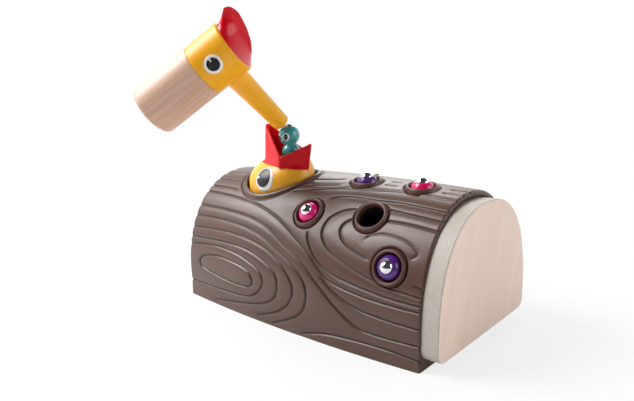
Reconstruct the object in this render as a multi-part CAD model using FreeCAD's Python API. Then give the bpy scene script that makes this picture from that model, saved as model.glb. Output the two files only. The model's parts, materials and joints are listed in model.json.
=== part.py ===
"""Woodpecker pop up toy: a hollow log with worms in holes, a sprung nestling and a pecking hammer.

Millimetres, +Z up. X runs along the log, -Y is the front. The origin is on the floor under the
middle of the log.
"""
import FreeCAD, Part
import math
import os
from FreeCAD import Matrix, Placement, Rotation, Vector

# Log shell: one moulded half log, barrel shaped, open underneath
shell_length = 232.2
shell_end_half_width = 66.4
shell_bulge_width = 5.9
shell_end_height = 105.4
shell_bulge_height = 3.0
shell_side_height = 25.1
shell_curve = 2.18
shell_wall = 2.5
end_wall = 3.0
tab_length = 24.0
tab_depth = 10.0
tab_height = 9.0
tab_offset = 70.0

# Plywood end panels: the right one stands out of the shell's end, the left one lies just inside it
panel_thickness = 18.0
right_panel_proud = 12.1
left_panel_recess = 1.0
panel_side_step = 1.6
panel_top_step = 5.3
panel_bottom = 7.1
panel_side_height = 20.7
panel_curve = 2.38
panel_corner_radius = 8.0
panel_edge_radius = 0.8

# Base board, feet and battens
foot_height = 3.0
foot_radius = 7.0
foot_end_inset = 9.8
foot_side_inset = 16.0
board_thickness = 5.0
batten_width = 12.0
batten_height = 14.0
batten_length = 84.0
batten_screw_spacing = 56.0

# Grain: grooves in the bark, as shares of the log's length from its middle and of the way over it
# from the front's lower edge to the back's
groove_depth = 1.0
groove_width = 1.8
groove_end_depth = 0.35
groove_fade = 20.0
groove_step = 10.0
grain_lines = [
    [(-0.512, 0.157), (-0.361, 0.170), (-0.236, 0.167), (-0.142, 0.150), (-0.090, 0.129),
     (-0.081, 0.102), (-0.116, 0.072), (-0.176, 0.055), (-0.314, 0.048), (-0.512, 0.045)],
    [(-0.512, 0.211), (-0.284, 0.218), (-0.120, 0.204), (-0.021, 0.177), (0.039, 0.140),
     (0.056, 0.109), (0.035, 0.072), (-0.025, 0.038), (-0.124, 0.011)],
    [(-0.512, 0.282), (-0.323, 0.279), (-0.180, 0.269), (-0.081, 0.248), (0.000, 0.218),
     (0.078, 0.187), (0.160, 0.140), (0.220, 0.102), (0.289, 0.068), (0.354, 0.058), (0.512, 0.058)],
    [(-0.512, 0.333), (-0.314, 0.323), (-0.168, 0.306), (-0.056, 0.279), (0.022, 0.248),
     (0.091, 0.218), (0.151, 0.180), (0.199, 0.157), (0.285, 0.143), (0.375, 0.136), (0.512, 0.133)],
    [(-0.081, 0.364), (0.048, 0.391), (0.104, 0.401), (0.220, 0.412), (0.323, 0.422), (0.512, 0.415)],
    [(0.512, 0.843), (0.361, 0.830), (0.236, 0.833), (0.142, 0.850), (0.090, 0.871), (0.081, 0.898),
     (0.116, 0.928), (0.176, 0.945), (0.314, 0.952), (0.512, 0.955)],
    [(0.512, 0.789), (0.284, 0.782), (0.120, 0.796), (0.021, 0.823), (-0.039, 0.860), (-0.056, 0.891),
     (-0.035, 0.928), (0.025, 0.962), (0.124, 0.989)],
    [(0.512, 0.718), (0.323, 0.721), (0.180, 0.731), (0.081, 0.752), (-0.000, 0.782), (-0.078, 0.813),
     (-0.160, 0.860), (-0.220, 0.898), (-0.289, 0.932), (-0.354, 0.942), (-0.512, 0.942)],
    [(0.512, 0.667), (0.314, 0.677), (0.168, 0.694), (0.056, 0.721), (-0.022, 0.752), (-0.091, 0.782),
     (-0.151, 0.820), (-0.199, 0.843), (-0.285, 0.857), (-0.375, 0.864), (-0.512, 0.867)],
]

# Worm holes: how far each lies from the log's right end, and where it lies round the log
front_pink_from_end = 103.5
front_empty_from_end = 50.9
front_purple_from_end = 25.7
top_purple_from_end = 78.6
top_magenta_from_end = 33.4
back_green_from_end = 108.5
worm_holes = {
    "front_pink": (shell_length / 2 - front_pink_from_end, 46.6),
    "front_empty": (shell_length / 2 - front_empty_from_end, 50.6),
    "front_purple": (shell_length / 2 - front_purple_from_end, 25.6),
    "top_purple": (shell_length / 2 - top_purple_from_end, 81.0),
    "top_magenta": (shell_length / 2 - top_magenta_from_end, 83.5),
    "back_green": (shell_length / 2 - back_green_from_end, 120.2),
}
hole_radius = 9.4
hole_rim_radius = 11.7
hole_rim_height = 1.5
cup_wall = 1.6
cup_floor = 2.2

# Worms: a head bead and a body bead on one axis, with a steel ball let into the head
worm_head_radius = 8.5
worm_head_flat = 6.7
worm_body_radius = 7.5
worm_neck_radius = 5.2
worm_bead_spacing = 13.5
worm_foot_drop = 20.5
worm_head_rise = -2.6
steel_ball_radius = 5.0
steel_ball_rise = 4.6

# Nest: an oval opening in the top of the log with a raised lip
nest_x = -46.3
nest_y = -18.8
nest_turn = 4.0
nest_opening_length = 33.0
nest_opening_width = 24.5
nest_lip_width = 3.5
nest_lip_height = 1.3

# Nestling: a yellow dome in the nest
chick_gap = 2.0
chick_wall = 2.2
chick_waist = 98.1
chick_dome_height = 24.9
chick_skirt_bottom = 85.1
chick_curve_along = 3.25
chick_curve_across = 1.51
chick_curve_up = 2.75
chick_tilt_along = 0.176
chick_tilt_across = 0.271
chick_eye_x = -0.8
chick_eye_height = 104.7
chick_eye_radius = 9.3
chick_pupil_radius = 7.2
chick_pupil_shift_x = -1.1
chick_pupil_shift_up = 1.2
paint_relief = 0.35

# Nestling's open beak: a deep four sided cup, its two points standing up
beak_wall = 2.2
beak_side_x = -32.5
beak_half_width = 16.35
beak_upper_x = -70.0
beak_upper_foot = 118.7
beak_upper_peak_x = -67.1
beak_upper_peak = 153.4
beak_lower_x = -15.25
beak_lower_foot = 112.2
beak_lower_peak_x = -10.3
beak_lower_peak = 135.4
beak_valley = 124.75
beak_floor_top = 118.1
beak_floor_thickness = 2.5
beak_bottom = 108.1
beak_edge_tilt = 0.112
beak_upper_radius = 4.0
beak_lower_radius = 3.0
beak_side_radius = 3.5

# Nestling's press guide
rod_radius = 5.0
rod_bottom = 20.0
rod_clearance = 0.06
pad_thickness = 3.0
spider_thickness = 3.0
socket_radius = 10.5
socket_top = 46.0
socket_cap = 6.0
socket_bore_radius = 8.0
socket_flange_radius = 18.0
socket_flange_thickness = 4.0
ring_radius = 7.4
ring_thickness = 2.5
ring_groove_depth = 1.0
spring_wire_radius = 0.8
spring_radius = 9.0
spring_turns = 8

# Worm in the nestling's mouth
mouth_worm_x = -33.5
mouth_worm_y = -18.8
mouth_worm_lean = 7.5

# Hammer: a wooden grip, a yellow head with a beak at right angles, and a red crest
hammer_radius = 19.95
grip_length = 51.5
hammer_head_length = 29.4
grip_edge_radius = 2.8
head_edge_radius = 2.0
hammer_beak_length = 56.3
hammer_beak_root_radius = 9.1
hammer_beak_tip_radius = 7.1
hammer_beak_tip_rounding = 2.0
hammer_beak_socket = 8.0
beak_to_grip = 14.0
peck_direction = Vector(0.066, 0.753, -0.654)
crest_direction = Vector(0.699, 0.433, 0.569)
crest_thickness = 11.0
magnet_radius = 4.5
magnet_length = 5.0
magnet_proud = 0.8
magnet_shift_up = -1.5
magnet_shift_side = 4.0
dowel_radius = 5.0
dowel_depth = 12.0
hammer_eye_radius = 6.7
hammer_pupil_radius = 4.75
hammer_eye_rise = 13.2
hammer_eye_turn = 110.0

# Screws
screw_radius = 1.6
screw_head_radius = 3.1
screw_head_height = 2.0
beak_screw_length = 5.0
beak_screw_offsets = (-12.0, 8.4)

# Clearances
seat_gap = 0.3
glue_gap = 0.05

Z = Vector(0, 0, 1)
board_bottom = foot_height
board_top = board_bottom + board_thickness
panel_outer = {-1: shell_length / 2 - left_panel_recess, 1: shell_length / 2 + right_panel_proud}
panel_inner = {sign: reach - panel_thickness for sign, reach in panel_outer.items()}
board_reach = {sign: reach - seat_gap for sign, reach in panel_inner.items()}
chick_half_length = nest_opening_length - chick_gap
chick_half_width = nest_opening_width - chick_gap


def save(name, solids):
    """Write one node; several solids go into one compound."""
    solids = solids if isinstance(solids, list) else [solids]
    for solid in solids:
        if not solid.isValid():
            print("invalid solid in", name)
    shape = solids[0] if len(solids) == 1 else Part.makeCompound(solids)
    shape.exportStep(os.path.join("parts", name + ".step"))


def one_solid(shape):
    """The largest solid of a boolean result."""
    return max(shape.Solids, key=lambda solid: solid.Volume)


def unit(vector):
    result = Vector(vector)
    result.normalize()
    return result


def local_frame(origin, z_axis, x_hint=Vector(1, 0, 0)):
    """A placement whose local Z lies along z_axis and whose local X leans towards x_hint."""
    z_dir = unit(z_axis)
    x_dir = unit(x_hint - z_dir * x_hint.dot(z_dir))
    y_dir = z_dir.cross(x_dir)
    matrix = Matrix(
        x_dir.x, y_dir.x, z_dir.x, origin.x,
        x_dir.y, y_dir.y, z_dir.y, origin.y,
        x_dir.z, y_dir.z, z_dir.z, origin.z,
        0, 0, 0, 1)
    return Placement(matrix)


def placed(shape, placement):
    copy = shape.copy()
    copy.Placement = placement.multiply(copy.Placement)
    return copy


def log_size(x):
    """Half width and height of the log's outside at x."""
    bulge = 1 - (2 * x / shell_length) ** 2
    half_width = shell_end_half_width + shell_bulge_width * bulge
    height = shell_end_height + shell_bulge_height * bulge
    return half_width, height


def arch_points(half_width, height, spring_height, curve, steps=12):
    """Points of a superellipse arch from front to back, standing on straight sides."""
    points = []
    for i in range(steps + 1):
        angle = math.pi * i / steps
        across = -math.copysign(abs(math.cos(angle)) ** (2 / curve), math.cos(angle))
        up = abs(math.sin(angle)) ** (2 / curve)
        points.append((half_width * across, spring_height + (height - spring_height) * up))
    return points


def arch_wire(x, half_width, height, bottom, spring_height, curve):
    """The outline of an arched section in the plane at x."""
    points = [Vector(x, y, z) for y, z in arch_points(half_width, height, spring_height, curve)]
    spline = Part.BSplineCurve()
    spline.interpolate(Points=points, InitialTangent=Z, FinalTangent=Z * -1)
    low_front = Vector(x, -half_width, bottom)
    low_back = Vector(x, half_width, bottom)
    return Part.Wire([
        Part.makeLine(low_front, points[0]),
        spline.toShape(),
        Part.makeLine(points[-1], low_back),
        Part.makeLine(low_back, low_front),
    ])


def log_solid(inset=0.0, end_inset=0.0, bottom=0.0):
    """The log's outside, or the same form shrunk by an inset."""
    half_length = shell_length / 2 - end_inset
    wires = []
    for i in range(-2, 3):
        x = half_length * i / 2
        half_width, height = log_size(x)
        wires.append(arch_wire(x, half_width - inset, height - inset, bottom, shell_side_height, shell_curve))
    return Part.makeLoft(wires, True, False)


def log_surface(x, around):
    """A point on the log and its outward normal; around is in degrees from the front."""
    def point(px, degrees):
        half_width, height = log_size(px)
        angle = math.radians(degrees)
        across = math.copysign(abs(math.cos(angle)) ** (2 / shell_curve), math.cos(angle))
        up = math.sin(angle) ** (2 / shell_curve)
        return Vector(px, -half_width * across, shell_side_height + (height - shell_side_height) * up)
    step = 0.1
    along = point(x + step, around) - point(x - step, around)
    over = point(x, around + step) - point(x, around - step)
    return point(x, around), unit(along.cross(over))


def girth_steps(count=90):
    """How far over the log's mean section each step of the way round lies, from its lower front edge."""
    bulge = 2 / 3
    half_width = shell_end_half_width + shell_bulge_width * bulge
    height = shell_end_height + shell_bulge_height * bulge
    points = arch_points(half_width, height, shell_side_height, shell_curve, count)
    lengths = [shell_side_height]
    for start, stop in zip(points, points[1:]):
        lengths.append(lengths[-1] + math.dist(start, stop))
    return lengths


girth_lengths = girth_steps()


def bark_point(length_share, girth_share):
    """A point on the log and its outward normal, from shares of its length and of the way over it."""
    x = shell_length * length_share
    lengths = girth_lengths
    girth = (lengths[-1] + shell_side_height) * girth_share
    side = 1 if girth > lengths[-1] else -1
    if shell_side_height <= girth <= lengths[-1]:
        i = max(k for k in range(len(lengths) - 1) if lengths[k] <= girth)
        part = (girth - lengths[i]) / (lengths[i + 1] - lengths[i])
        degrees = 180 * (i + part) / (len(lengths) - 1)
        return log_surface(x, min(max(degrees, 0.5), 179.5))
    height = girth if side < 0 else lengths[-1] + shell_side_height - girth
    return Vector(x, side * log_size(x)[0], height), Vector(0, side, 0)


def groove(line):
    """The wedge that cuts one grain line, run along the log's surface and shallower at the log's ends."""
    knots = [Vector(x * shell_length, share * 2 * shell_length, 0) for x, share in line]
    curve = Part.BSplineCurve()
    curve.interpolate(Points=knots)
    count = max(int(curve.length() / groove_step), 2)
    places = []
    for knot in curve.discretize(Number=count + 1):
        places.append(bark_point(knot.x / shell_length, knot.y / (2 * shell_length)))
    wedges = []
    for i, (point, normal) in enumerate(places):
        along = unit(places[min(i + 1, count)][0] - places[max(i - 1, 0)][0])
        across = unit(normal.cross(along))
        from_end = max(shell_length / 2 - abs(point.x), 0)
        depth = groove_end_depth + (groove_depth - groove_end_depth) * min(from_end / groove_fade, 1)
        half = groove_width / 2 * depth / groove_depth
        top = point + normal * depth
        wedges.append(Part.makePolygon([top - across * 2 * half, point - normal * depth,
                                        top + across * 2 * half, top - across * 2 * half]))
    return Part.makeLoft(wedges, True, True)


def panel_solid(sign, clearance=0.0):
    """One end panel, or the hole for it when a clearance is given."""
    half_width = shell_end_half_width - panel_side_step + clearance
    top = shell_end_height - panel_top_step + clearance
    bottom = panel_bottom - clearance
    wire = arch_wire(0, half_width, top, bottom, panel_side_height, panel_curve)
    depth = 2 * panel_thickness if clearance else panel_thickness
    solid = Part.Face(wire).extrude(Vector(depth, 0, 0))
    corners = [edge for edge in solid.Edges
               if abs(edge.BoundBox.ZMax - bottom) < 0.01 and edge.BoundBox.YLength < 0.01]
    solid = solid.makeFillet(panel_corner_radius, corners)
    solid.translate(Vector(panel_inner[sign], 0, 0))
    if not clearance:
        rim = [edge for edge in solid.Edges
               if edge.BoundBox.XLength < 0.01 and edge.BoundBox.XMax > panel_outer[sign] - 0.01]
        solid = solid.makeFillet(panel_edge_radius, rim)
    if sign < 0:
        solid = solid.mirror(Vector(0, 0, 0), Vector(1, 0, 0))
    return solid


def oval_prism(half_length, half_width, bottom, top):
    """An upright oval column on the nest's axis."""
    ellipse = Part.Ellipse(Vector(0, 0, 0), half_length, half_width)
    solid = Part.Face(Part.Wire(ellipse.toShape())).extrude(Vector(0, 0, top - bottom))
    return placed(solid, Placement(Vector(nest_x, nest_y, bottom), Rotation(Z, nest_turn)))


def screw(position, direction, length):
    """A countersunk screw; position is the middle of its head's face, direction points in."""
    profile = Part.Wire(Part.makePolygon([
        Vector(0, 0, 0),
        Vector(screw_head_radius, 0, 0),
        Vector(screw_radius, 0, screw_head_height),
        Vector(screw_radius, 0, length - screw_radius),
        Vector(0, 0, length),
        Vector(0, 0, 0),
    ]))
    solid = Part.Face(profile).revolve(Vector(0, 0, 0), Z, 360)
    return placed(solid, local_frame(position, direction, Vector(0.3, 1, 0.2)))


def screw_hole(position, direction, length):
    """The room that a screw takes, with a little clearance."""
    profile = Part.Wire(Part.makePolygon([
        Vector(0, 0, -1),
        Vector(screw_head_radius + glue_gap, 0, -1),
        Vector(screw_head_radius + glue_gap, 0, 0),
        Vector(screw_radius + glue_gap, 0, screw_head_height),
        Vector(screw_radius + glue_gap, 0, length + glue_gap),
        Vector(0, 0, length + glue_gap),
        Vector(0, 0, -1),
    ]))
    solid = Part.Face(profile).revolve(Vector(0, 0, 0), Z, 360)
    return placed(solid, local_frame(position, direction, Vector(0.3, 1, 0.2)))


def revolved(points):
    """A solid of revolution about Z from (radius, height) points joined by straight lines."""
    corners = [Vector(r, 0, z) for r, z in points]
    return Part.Face(Part.makePolygon(corners + [corners[0]])).revolve(Vector(0, 0, 0), Z, 360)


# Screw positions shared by the pieces they pass through
foot_y = shell_end_half_width - foot_side_inset
feet = [Vector(sx * (board_reach[sx] - foot_end_inset), sy * foot_y, 0) for sx in (-1, 1) for sy in (-1, 1)]
tab_screws = [Vector(sx * tab_offset, sy * (shell_end_half_width - tab_depth / 2 - shell_wall), board_bottom)
              for sx in (-1, 1) for sy in (-1, 1)]
batten_x = {sign: reach - batten_width / 2 for sign, reach in board_reach.items()}
batten_down_screws = [Vector(sx * batten_x[sx], sy * batten_screw_spacing / 2, board_bottom)
                      for sx in (-1, 1) for sy in (-1, 1)]
batten_side_screws = [(Vector(sx * (batten_x[sx] - batten_width / 2), sy * batten_screw_spacing / 4,
                              board_top + batten_height / 2), Vector(sx, 0, 0))
                      for sx in (-1, 1) for sy in (-1, 1)]
batten_screw_length = batten_width + panel_thickness / 2
socket_screw_circle = (socket_radius + socket_flange_radius) / 2
socket_screws = [(Vector(nest_x + socket_screw_circle * math.cos(math.radians(a)),
                         nest_y + socket_screw_circle * math.sin(math.radians(a)),
                         board_top + socket_flange_thickness), Z * -1)
                 for a in (90, 210, 330)]
socket_screw_length = socket_flange_thickness + board_thickness - 1.0


def log_shell():
    below = shell_side_height / 2
    outer = log_solid(bottom=-below)
    inner = log_solid(shell_wall, end_wall, -2 * below)
    shell = outer.cut(inner)
    for sign in (-1, 1):
        shell = shell.cut(panel_solid(sign, seat_gap))
    for screw_at in tab_screws:
        side = math.copysign(1, screw_at.y)
        tab = Part.makeBox(tab_length, tab_depth + shell_wall * 5, tab_height)
        low_y = screw_at.y - tab_depth / 2 if side > 0 else screw_at.y - tab_depth / 2 - shell_wall * 5
        tab.translate(Vector(screw_at.x - tab_length / 2, low_y, board_top + seat_gap))
        shell = shell.fuse(tab.common(log_solid(shell_wall / 2)))
    shell = shell.cut([groove(line) for line in grain_lines])
    for x, around in worm_holes.values():
        point, normal = log_surface(x, around)
        frame = local_frame(point, normal)
        rim = Part.makeCylinder(hole_rim_radius, hole_rim_height + 2 * shell_wall, Vector(0, 0, -2 * shell_wall))
        top_edges = [edge for edge in rim.Edges if edge.BoundBox.ZMin > hole_rim_height - 0.01]
        rim = rim.makeFillet(hole_rim_height * 0.4, top_edges)
        shell = shell.fuse(placed(rim, frame))
    lip_outer = oval_prism(nest_opening_length + nest_lip_width, nest_opening_width + nest_lip_width,
                           shell_side_height, shell_end_height * 1.5)
    shell = shell.fuse(log_solid(-nest_lip_height).common(lip_outer))
    shell = shell.cut(log_solid(shell_wall, end_wall, board_top + seat_gap + tab_height))
    bore_reach = hole_radius + shell_wall + hole_rim_height
    for x, around in worm_holes.values():
        point, normal = log_surface(x, around)
        bore = Part.makeCylinder(hole_radius, 2 * bore_reach, Vector(0, 0, -bore_reach))
        shell = shell.cut(placed(bore, local_frame(point, normal)))
    shell = shell.cut(oval_prism(nest_opening_length, nest_opening_width, shell_side_height,
                                 shell_end_height * 1.5))
    for screw_at in tab_screws:
        shell = shell.cut(screw_hole(screw_at, Z, board_thickness + tab_height - 1))
    floor = Part.makeBox(2 * shell_length, 4 * shell_end_half_width, below,
                         Vector(-shell_length, -2 * shell_end_half_width, -below))
    return one_solid(shell.cut(floor))


def worm_cup(x, around):
    """A cup glued under one hole, its mouth cut to the inside of the shell."""
    point, normal = log_surface(x, around)
    bottom = worm_head_rise - worm_foot_drop - seat_gap
    outside = Part.makeCylinder(hole_radius + cup_wall, cup_floor - bottom, Vector(0, 0, bottom - cup_floor))
    bore = Part.makeCylinder(hole_radius, -2 * bottom, Vector(0, 0, bottom))
    frame = local_frame(point, normal)
    cup = placed(outside, frame).common(log_solid(shell_wall + glue_gap, end_wall, 0))
    return one_solid(cup.cut(placed(bore, frame)))


def worm_pieces():
    """A worm about its head's centre, +Z out of the hole: the turned body and the steel ball."""
    head = Part.makeSphere(worm_head_radius)
    bead = Part.makeSphere(worm_body_radius, Vector(0, 0, -worm_bead_spacing))
    neck = Part.makeCylinder(worm_neck_radius, worm_bead_spacing / 2, Vector(0, 0, -worm_bead_spacing * 0.75))
    reach = worm_head_radius + worm_body_radius
    above = Part.makeBox(2 * reach, 2 * reach, reach, Vector(-reach, -reach, worm_head_flat))
    below = Part.makeBox(2 * reach, 2 * reach, reach, Vector(-reach, -reach, -worm_foot_drop - reach))
    ball = Part.makeSphere(steel_ball_radius, Vector(0, 0, steel_ball_rise))
    pocket = Part.makeSphere(steel_ball_radius + glue_gap, Vector(0, 0, steel_ball_rise))
    body = head.fuse(bead).fuse(neck).cut([above, below, pocket]).removeSplitter()
    return one_solid(body), ball


def dome_solid(inset, bottom):
    """The nestling's leaning dome with an upright skirt, or the same form shrunk by an inset."""
    half_length = chick_half_length - inset
    half_width = chick_half_width - inset
    height = chick_dome_height - inset
    sections = [(bottom, 0.0), ((bottom + chick_waist) / 2, 0.0), (chick_waist, 0.0)]
    sections += [(chick_waist + height * rise, rise) for rise in (0.28, 0.5, 0.66, 0.79, 0.88, 0.945, 0.982)]
    wires = []
    for z, rise in sections:
        share = 1 - rise ** chick_curve_up
        ellipse = Part.Ellipse(Vector(0, 0, 0), half_length * share ** (1 / chick_curve_along),
                               half_width * share ** (1 / chick_curve_across))
        lean_along = Rotation(Vector(0, -1, 0), math.degrees(math.atan(chick_tilt_along * rise)))
        lean_across = Rotation(Vector(1, 0, 0), math.degrees(math.atan(chick_tilt_across * rise)))
        wire = Part.Wire(ellipse.toShape())
        wires.append(placed(wire, Placement(Vector(0, 0, z), lean_across.multiply(lean_along))))
    solid = Part.makeLoft(wires, True, False)
    return placed(solid, Placement(Vector(nest_x, nest_y, 0), Rotation(Z, nest_turn)))


def beak_outline(z, inset):
    """The four sided outline of the nestling's beak at a height, corners rounded."""
    upper_slope = (beak_upper_peak_x - beak_upper_x) / (beak_upper_peak - beak_upper_foot)
    lower_slope = (beak_lower_peak_x - beak_lower_x) / (beak_lower_peak - beak_lower_foot)
    upper = Vector(beak_upper_x + upper_slope * (z - beak_upper_foot), 0, z)
    lower = Vector(beak_lower_x + lower_slope * (z - beak_lower_foot), 0, z)
    front = Vector(beak_side_x, -beak_half_width, z)
    back = Vector(beak_side_x, beak_half_width, z)
    corners = [upper, front, lower, back]
    radii = [beak_upper_radius, beak_side_radius, beak_lower_radius, beak_side_radius]
    middle = Vector(beak_side_x, 0, z)
    moved = []
    for i, corner in enumerate(corners):
        before = corners[i - 1]
        after = corners[(i + 1) % 4]
        in_dir = unit(corner - before)
        out_dir = unit(after - corner)
        in_side = Vector(-in_dir.y, in_dir.x, 0)
        out_side = Vector(-out_dir.y, out_dir.x, 0)
        if in_side.dot(middle - corner) < 0:
            in_side = in_side * -1
            out_side = out_side * -1
        bisector = unit(in_side + out_side)
        moved.append(corner + bisector * (inset / bisector.dot(in_side)))
    edges = []
    ends = []
    for i, corner in enumerate(moved):
        radius = max(radii[i] - inset, 0.6)
        before = unit(moved[i - 1] - corner)
        after = unit(moved[(i + 1) % 4] - corner)
        half = math.acos(max(-1, min(1, before.dot(after)))) / 2
        reach = radius / math.tan(half)
        centre = corner + unit(before + after) * (radius / math.sin(half))
        start = corner + before * reach
        stop = corner + after * reach
        middle_of_arc = centre + unit(corner - centre) * radius
        edges.append(Part.Arc(start, middle_of_arc, stop).toShape())
        ends.append((start, stop))
    joined = []
    for i, arc in enumerate(edges):
        joined.append(arc)
        joined.append(Part.makeLine(ends[i][1], ends[(i + 1) % 4][0]))
    wire = Part.Wire(joined)
    wire.translate(Vector(0, nest_y, 0))
    return wire


def beak_column(inset, bottom, top=beak_upper_peak + 6):
    return Part.makeLoft([beak_outline(bottom, inset), beak_outline(top, inset)], True, True)


def beak_cutter():
    """What is taken off above the beak's V shaped edge, which rises a little to the back."""
    upper_slope = (beak_upper_peak - beak_valley) / (beak_side_x - beak_upper_peak_x)
    lower_slope = (beak_lower_peak - beak_valley) / (beak_lower_peak_x - beak_side_x)
    reach = 2 * (beak_side_x - beak_upper_x)
    wire = Part.makePolygon([
        Vector(beak_side_x, 0, beak_valley),
        Vector(beak_side_x - reach, 0, beak_valley + reach * upper_slope),
        Vector(beak_side_x - reach, 0, beak_valley + reach * 2),
        Vector(beak_side_x + reach, 0, beak_valley + reach * 2),
        Vector(beak_side_x + reach, 0, beak_valley + reach * lower_slope),
        Vector(beak_side_x, 0, beak_valley),
    ])
    solid = Part.Face(wire).extrude(Vector(0, reach, reach * beak_edge_tilt))
    solid.translate(Vector(0, nest_y - reach / 2, -reach * beak_edge_tilt / 2))
    return solid


plunger_top = beak_floor_top - beak_floor_thickness - seat_gap
rod_x = beak_side_x
rod_y = nest_y


def chick_head():
    shell = dome_solid(0, chick_skirt_bottom).cut(dome_solid(chick_wall, chick_skirt_bottom - 1))
    return one_solid(shell.cut(beak_column(-glue_gap, beak_bottom - glue_gap)))


def chick_beak():
    cup = beak_column(0, beak_bottom).cut(beak_cutter())
    cup = cup.cut(beak_column(beak_wall, beak_floor_top))
    cup = cup.cut(beak_column(beak_wall, beak_bottom - 1, beak_floor_top - beak_floor_thickness))
    for position in beak_screw_points:
        cup = cup.cut(screw_hole(position, Z, beak_screw_length))
    return one_solid(cup)


beak_screw_points = [Vector(rod_x + dx, rod_y, plunger_top - pad_thickness) for dx in beak_screw_offsets]


def dome_eye(radius, shift_x, shift_up, inner_relief, outer_relief):
    """Both of the nestling's eye discs, as thin layers on the dome."""
    skin = dome_solid(-outer_relief, chick_skirt_bottom).cut(dome_solid(-inner_relief, chick_skirt_bottom - 1))
    discs = []
    for side in (-1, 1):
        start = Vector(nest_x + chick_eye_x + shift_x, nest_y + side * chick_half_width / 2,
                       chick_eye_height + shift_up)
        column = Part.makeCylinder(radius, chick_half_width, start, Vector(0, side, 0))
        discs.append(one_solid(skin.common(column)))
    return discs


def plunger():
    """Pad under the beak, spider inside the skirt and the guide rod, all one moulding."""
    spider_top = chick_skirt_bottom + 2 * spider_thickness
    spider = oval_prism(chick_half_length - chick_wall - glue_gap, chick_half_width - chick_wall - glue_gap,
                        spider_top - spider_thickness, spider_top)
    groove_top = socket_top - socket_cap - seat_gap
    rod = revolved([
        (0, rod_bottom), (rod_radius, rod_bottom), (rod_radius, groove_top - ring_thickness - glue_gap),
        (rod_radius - ring_groove_depth, groove_top - ring_thickness - glue_gap),
        (rod_radius - ring_groove_depth, groove_top + glue_gap),
        (rod_radius, groove_top + glue_gap), (rod_radius, plunger_top), (0, plunger_top),
    ])
    rod.translate(Vector(rod_x, rod_y, 0))
    pad = beak_column(beak_wall + seat_gap, plunger_top - pad_thickness, plunger_top)
    solid = rod.fuse(spider).fuse(pad)
    for position in beak_screw_points:
        solid = solid.cut(screw_hole(position, Z, beak_screw_length))
    return one_solid(solid.removeSplitter())


def retaining_ring():
    top = socket_top - socket_cap - seat_gap
    inner = rod_radius - ring_groove_depth + glue_gap
    ring = Part.makeCylinder(ring_radius, ring_thickness).cut(Part.makeCylinder(inner, ring_thickness))
    ring.translate(Vector(rod_x, rod_y, top - ring_thickness))
    return ring


def guide_socket():
    flange_top = board_top + socket_flange_thickness
    solid = revolved([
        (socket_bore_radius, board_top), (socket_flange_radius, board_top), (socket_flange_radius, flange_top),
        (socket_radius, flange_top), (socket_radius, socket_top), (rod_radius + rod_clearance, socket_top),
        (rod_radius + rod_clearance, socket_top - socket_cap), (socket_bore_radius, socket_top - socket_cap),
    ])
    solid.translate(Vector(rod_x, rod_y, 0))
    for position, direction in socket_screws:
        solid = solid.cut(screw_hole(position, direction, socket_screw_length))
    return solid


def biarc(start, start_dir, stop, stop_dir):
    """Two arcs that join two points and keep both directions."""
    def arc(a, corner, b):
        middle = (a + b) * 0.5
        rise = corner - middle
        half_chord = (b - a).Length / 2
        turn = math.atan2(rise.Length, half_chord)
        return Part.Arc(a, middle + unit(rise) * half_chord * math.tan(turn / 2), b).toShape()
    span = stop - start
    total = start_dir + stop_dir
    spread = 2 * (1 - start_dir.dot(stop_dir))
    along = span.dot(total)
    reach = (-along + math.sqrt(along ** 2 + spread * span.dot(span))) / spread
    first = start + start_dir * reach
    second = stop - stop_dir * reach
    middle = (first + second) * 0.5
    return [arc(start, first, middle), arc(middle, second, stop)]


def return_spring():
    """One unbroken coil between the socket and the nestling's spider."""
    low = socket_top + spring_wire_radius + seat_gap
    high = chick_skirt_bottom + spider_thickness - spring_wire_radius - seat_gap
    quarters = spring_turns * 4
    rise = (high - low) / quarters

    def at(i):
        angle = math.pi / 2 * i
        point = Vector(rod_x + spring_radius * math.cos(angle), rod_y + spring_radius * math.sin(angle),
                       low + rise * i)
        run = spring_radius * math.pi / 2
        return point, unit(Vector(-math.sin(angle) * run, math.cos(angle) * run, rise))

    edges = []
    for i in range(quarters):
        start, start_dir = at(i)
        stop, stop_dir = at(i + 1)
        edges += biarc(start, start_dir, stop, stop_dir)
    path = Part.Wire(edges)
    first, first_dir = at(0)
    profile = Part.Wire(Part.Circle(first, first_dir, spring_wire_radius).toShape())
    coil = path.makePipeShell([profile], True, False)
    pitch = rise * 4
    slope = math.atan2(pitch, 2 * math.pi * spring_radius)
    print("spring least gap between turns, mm:", round(pitch * math.cos(slope) - 2 * spring_wire_radius, 2))
    return coil


# The worm that stands in the nestling's mouth, and the hammer that holds it
lean = math.radians(mouth_worm_lean)
mouth_axis = Vector(-math.sin(lean), 0, math.cos(lean))
mouth_foot_z = beak_floor_top + seat_gap + worm_neck_radius * math.sin(lean)
mouth_head = Vector(mouth_worm_x, mouth_worm_y, mouth_foot_z) + mouth_axis * worm_foot_drop
mouth_ball = mouth_head + mouth_axis * steel_ball_rise
peck = unit(peck_direction)
crest_up = unit(crest_direction - peck * crest_direction.dot(peck))
magnet_face = (mouth_ball - peck * (steel_ball_radius + seat_gap) + crest_up * magnet_shift_up
               + crest_up.cross(peck) * magnet_shift_side)
beak_tip = magnet_face - peck * magnet_proud
hammer_axis_point = beak_tip - peck * (hammer_beak_length + hammer_radius)
hammer_frame = local_frame(hammer_axis_point, crest_up, peck)
head_bottom = -beak_to_grip
head_top = head_bottom + hammer_head_length
grip_bottom = head_bottom - grip_length


def hammer_grip():
    body = Part.makeCylinder(hammer_radius, grip_length, Vector(0, 0, grip_bottom))
    lower = [edge for edge in body.Edges if edge.BoundBox.ZMax < grip_bottom + 0.01]
    body = body.makeFillet(grip_edge_radius, lower)
    return placed(body.cut(dowel_hole()), hammer_frame)


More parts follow.
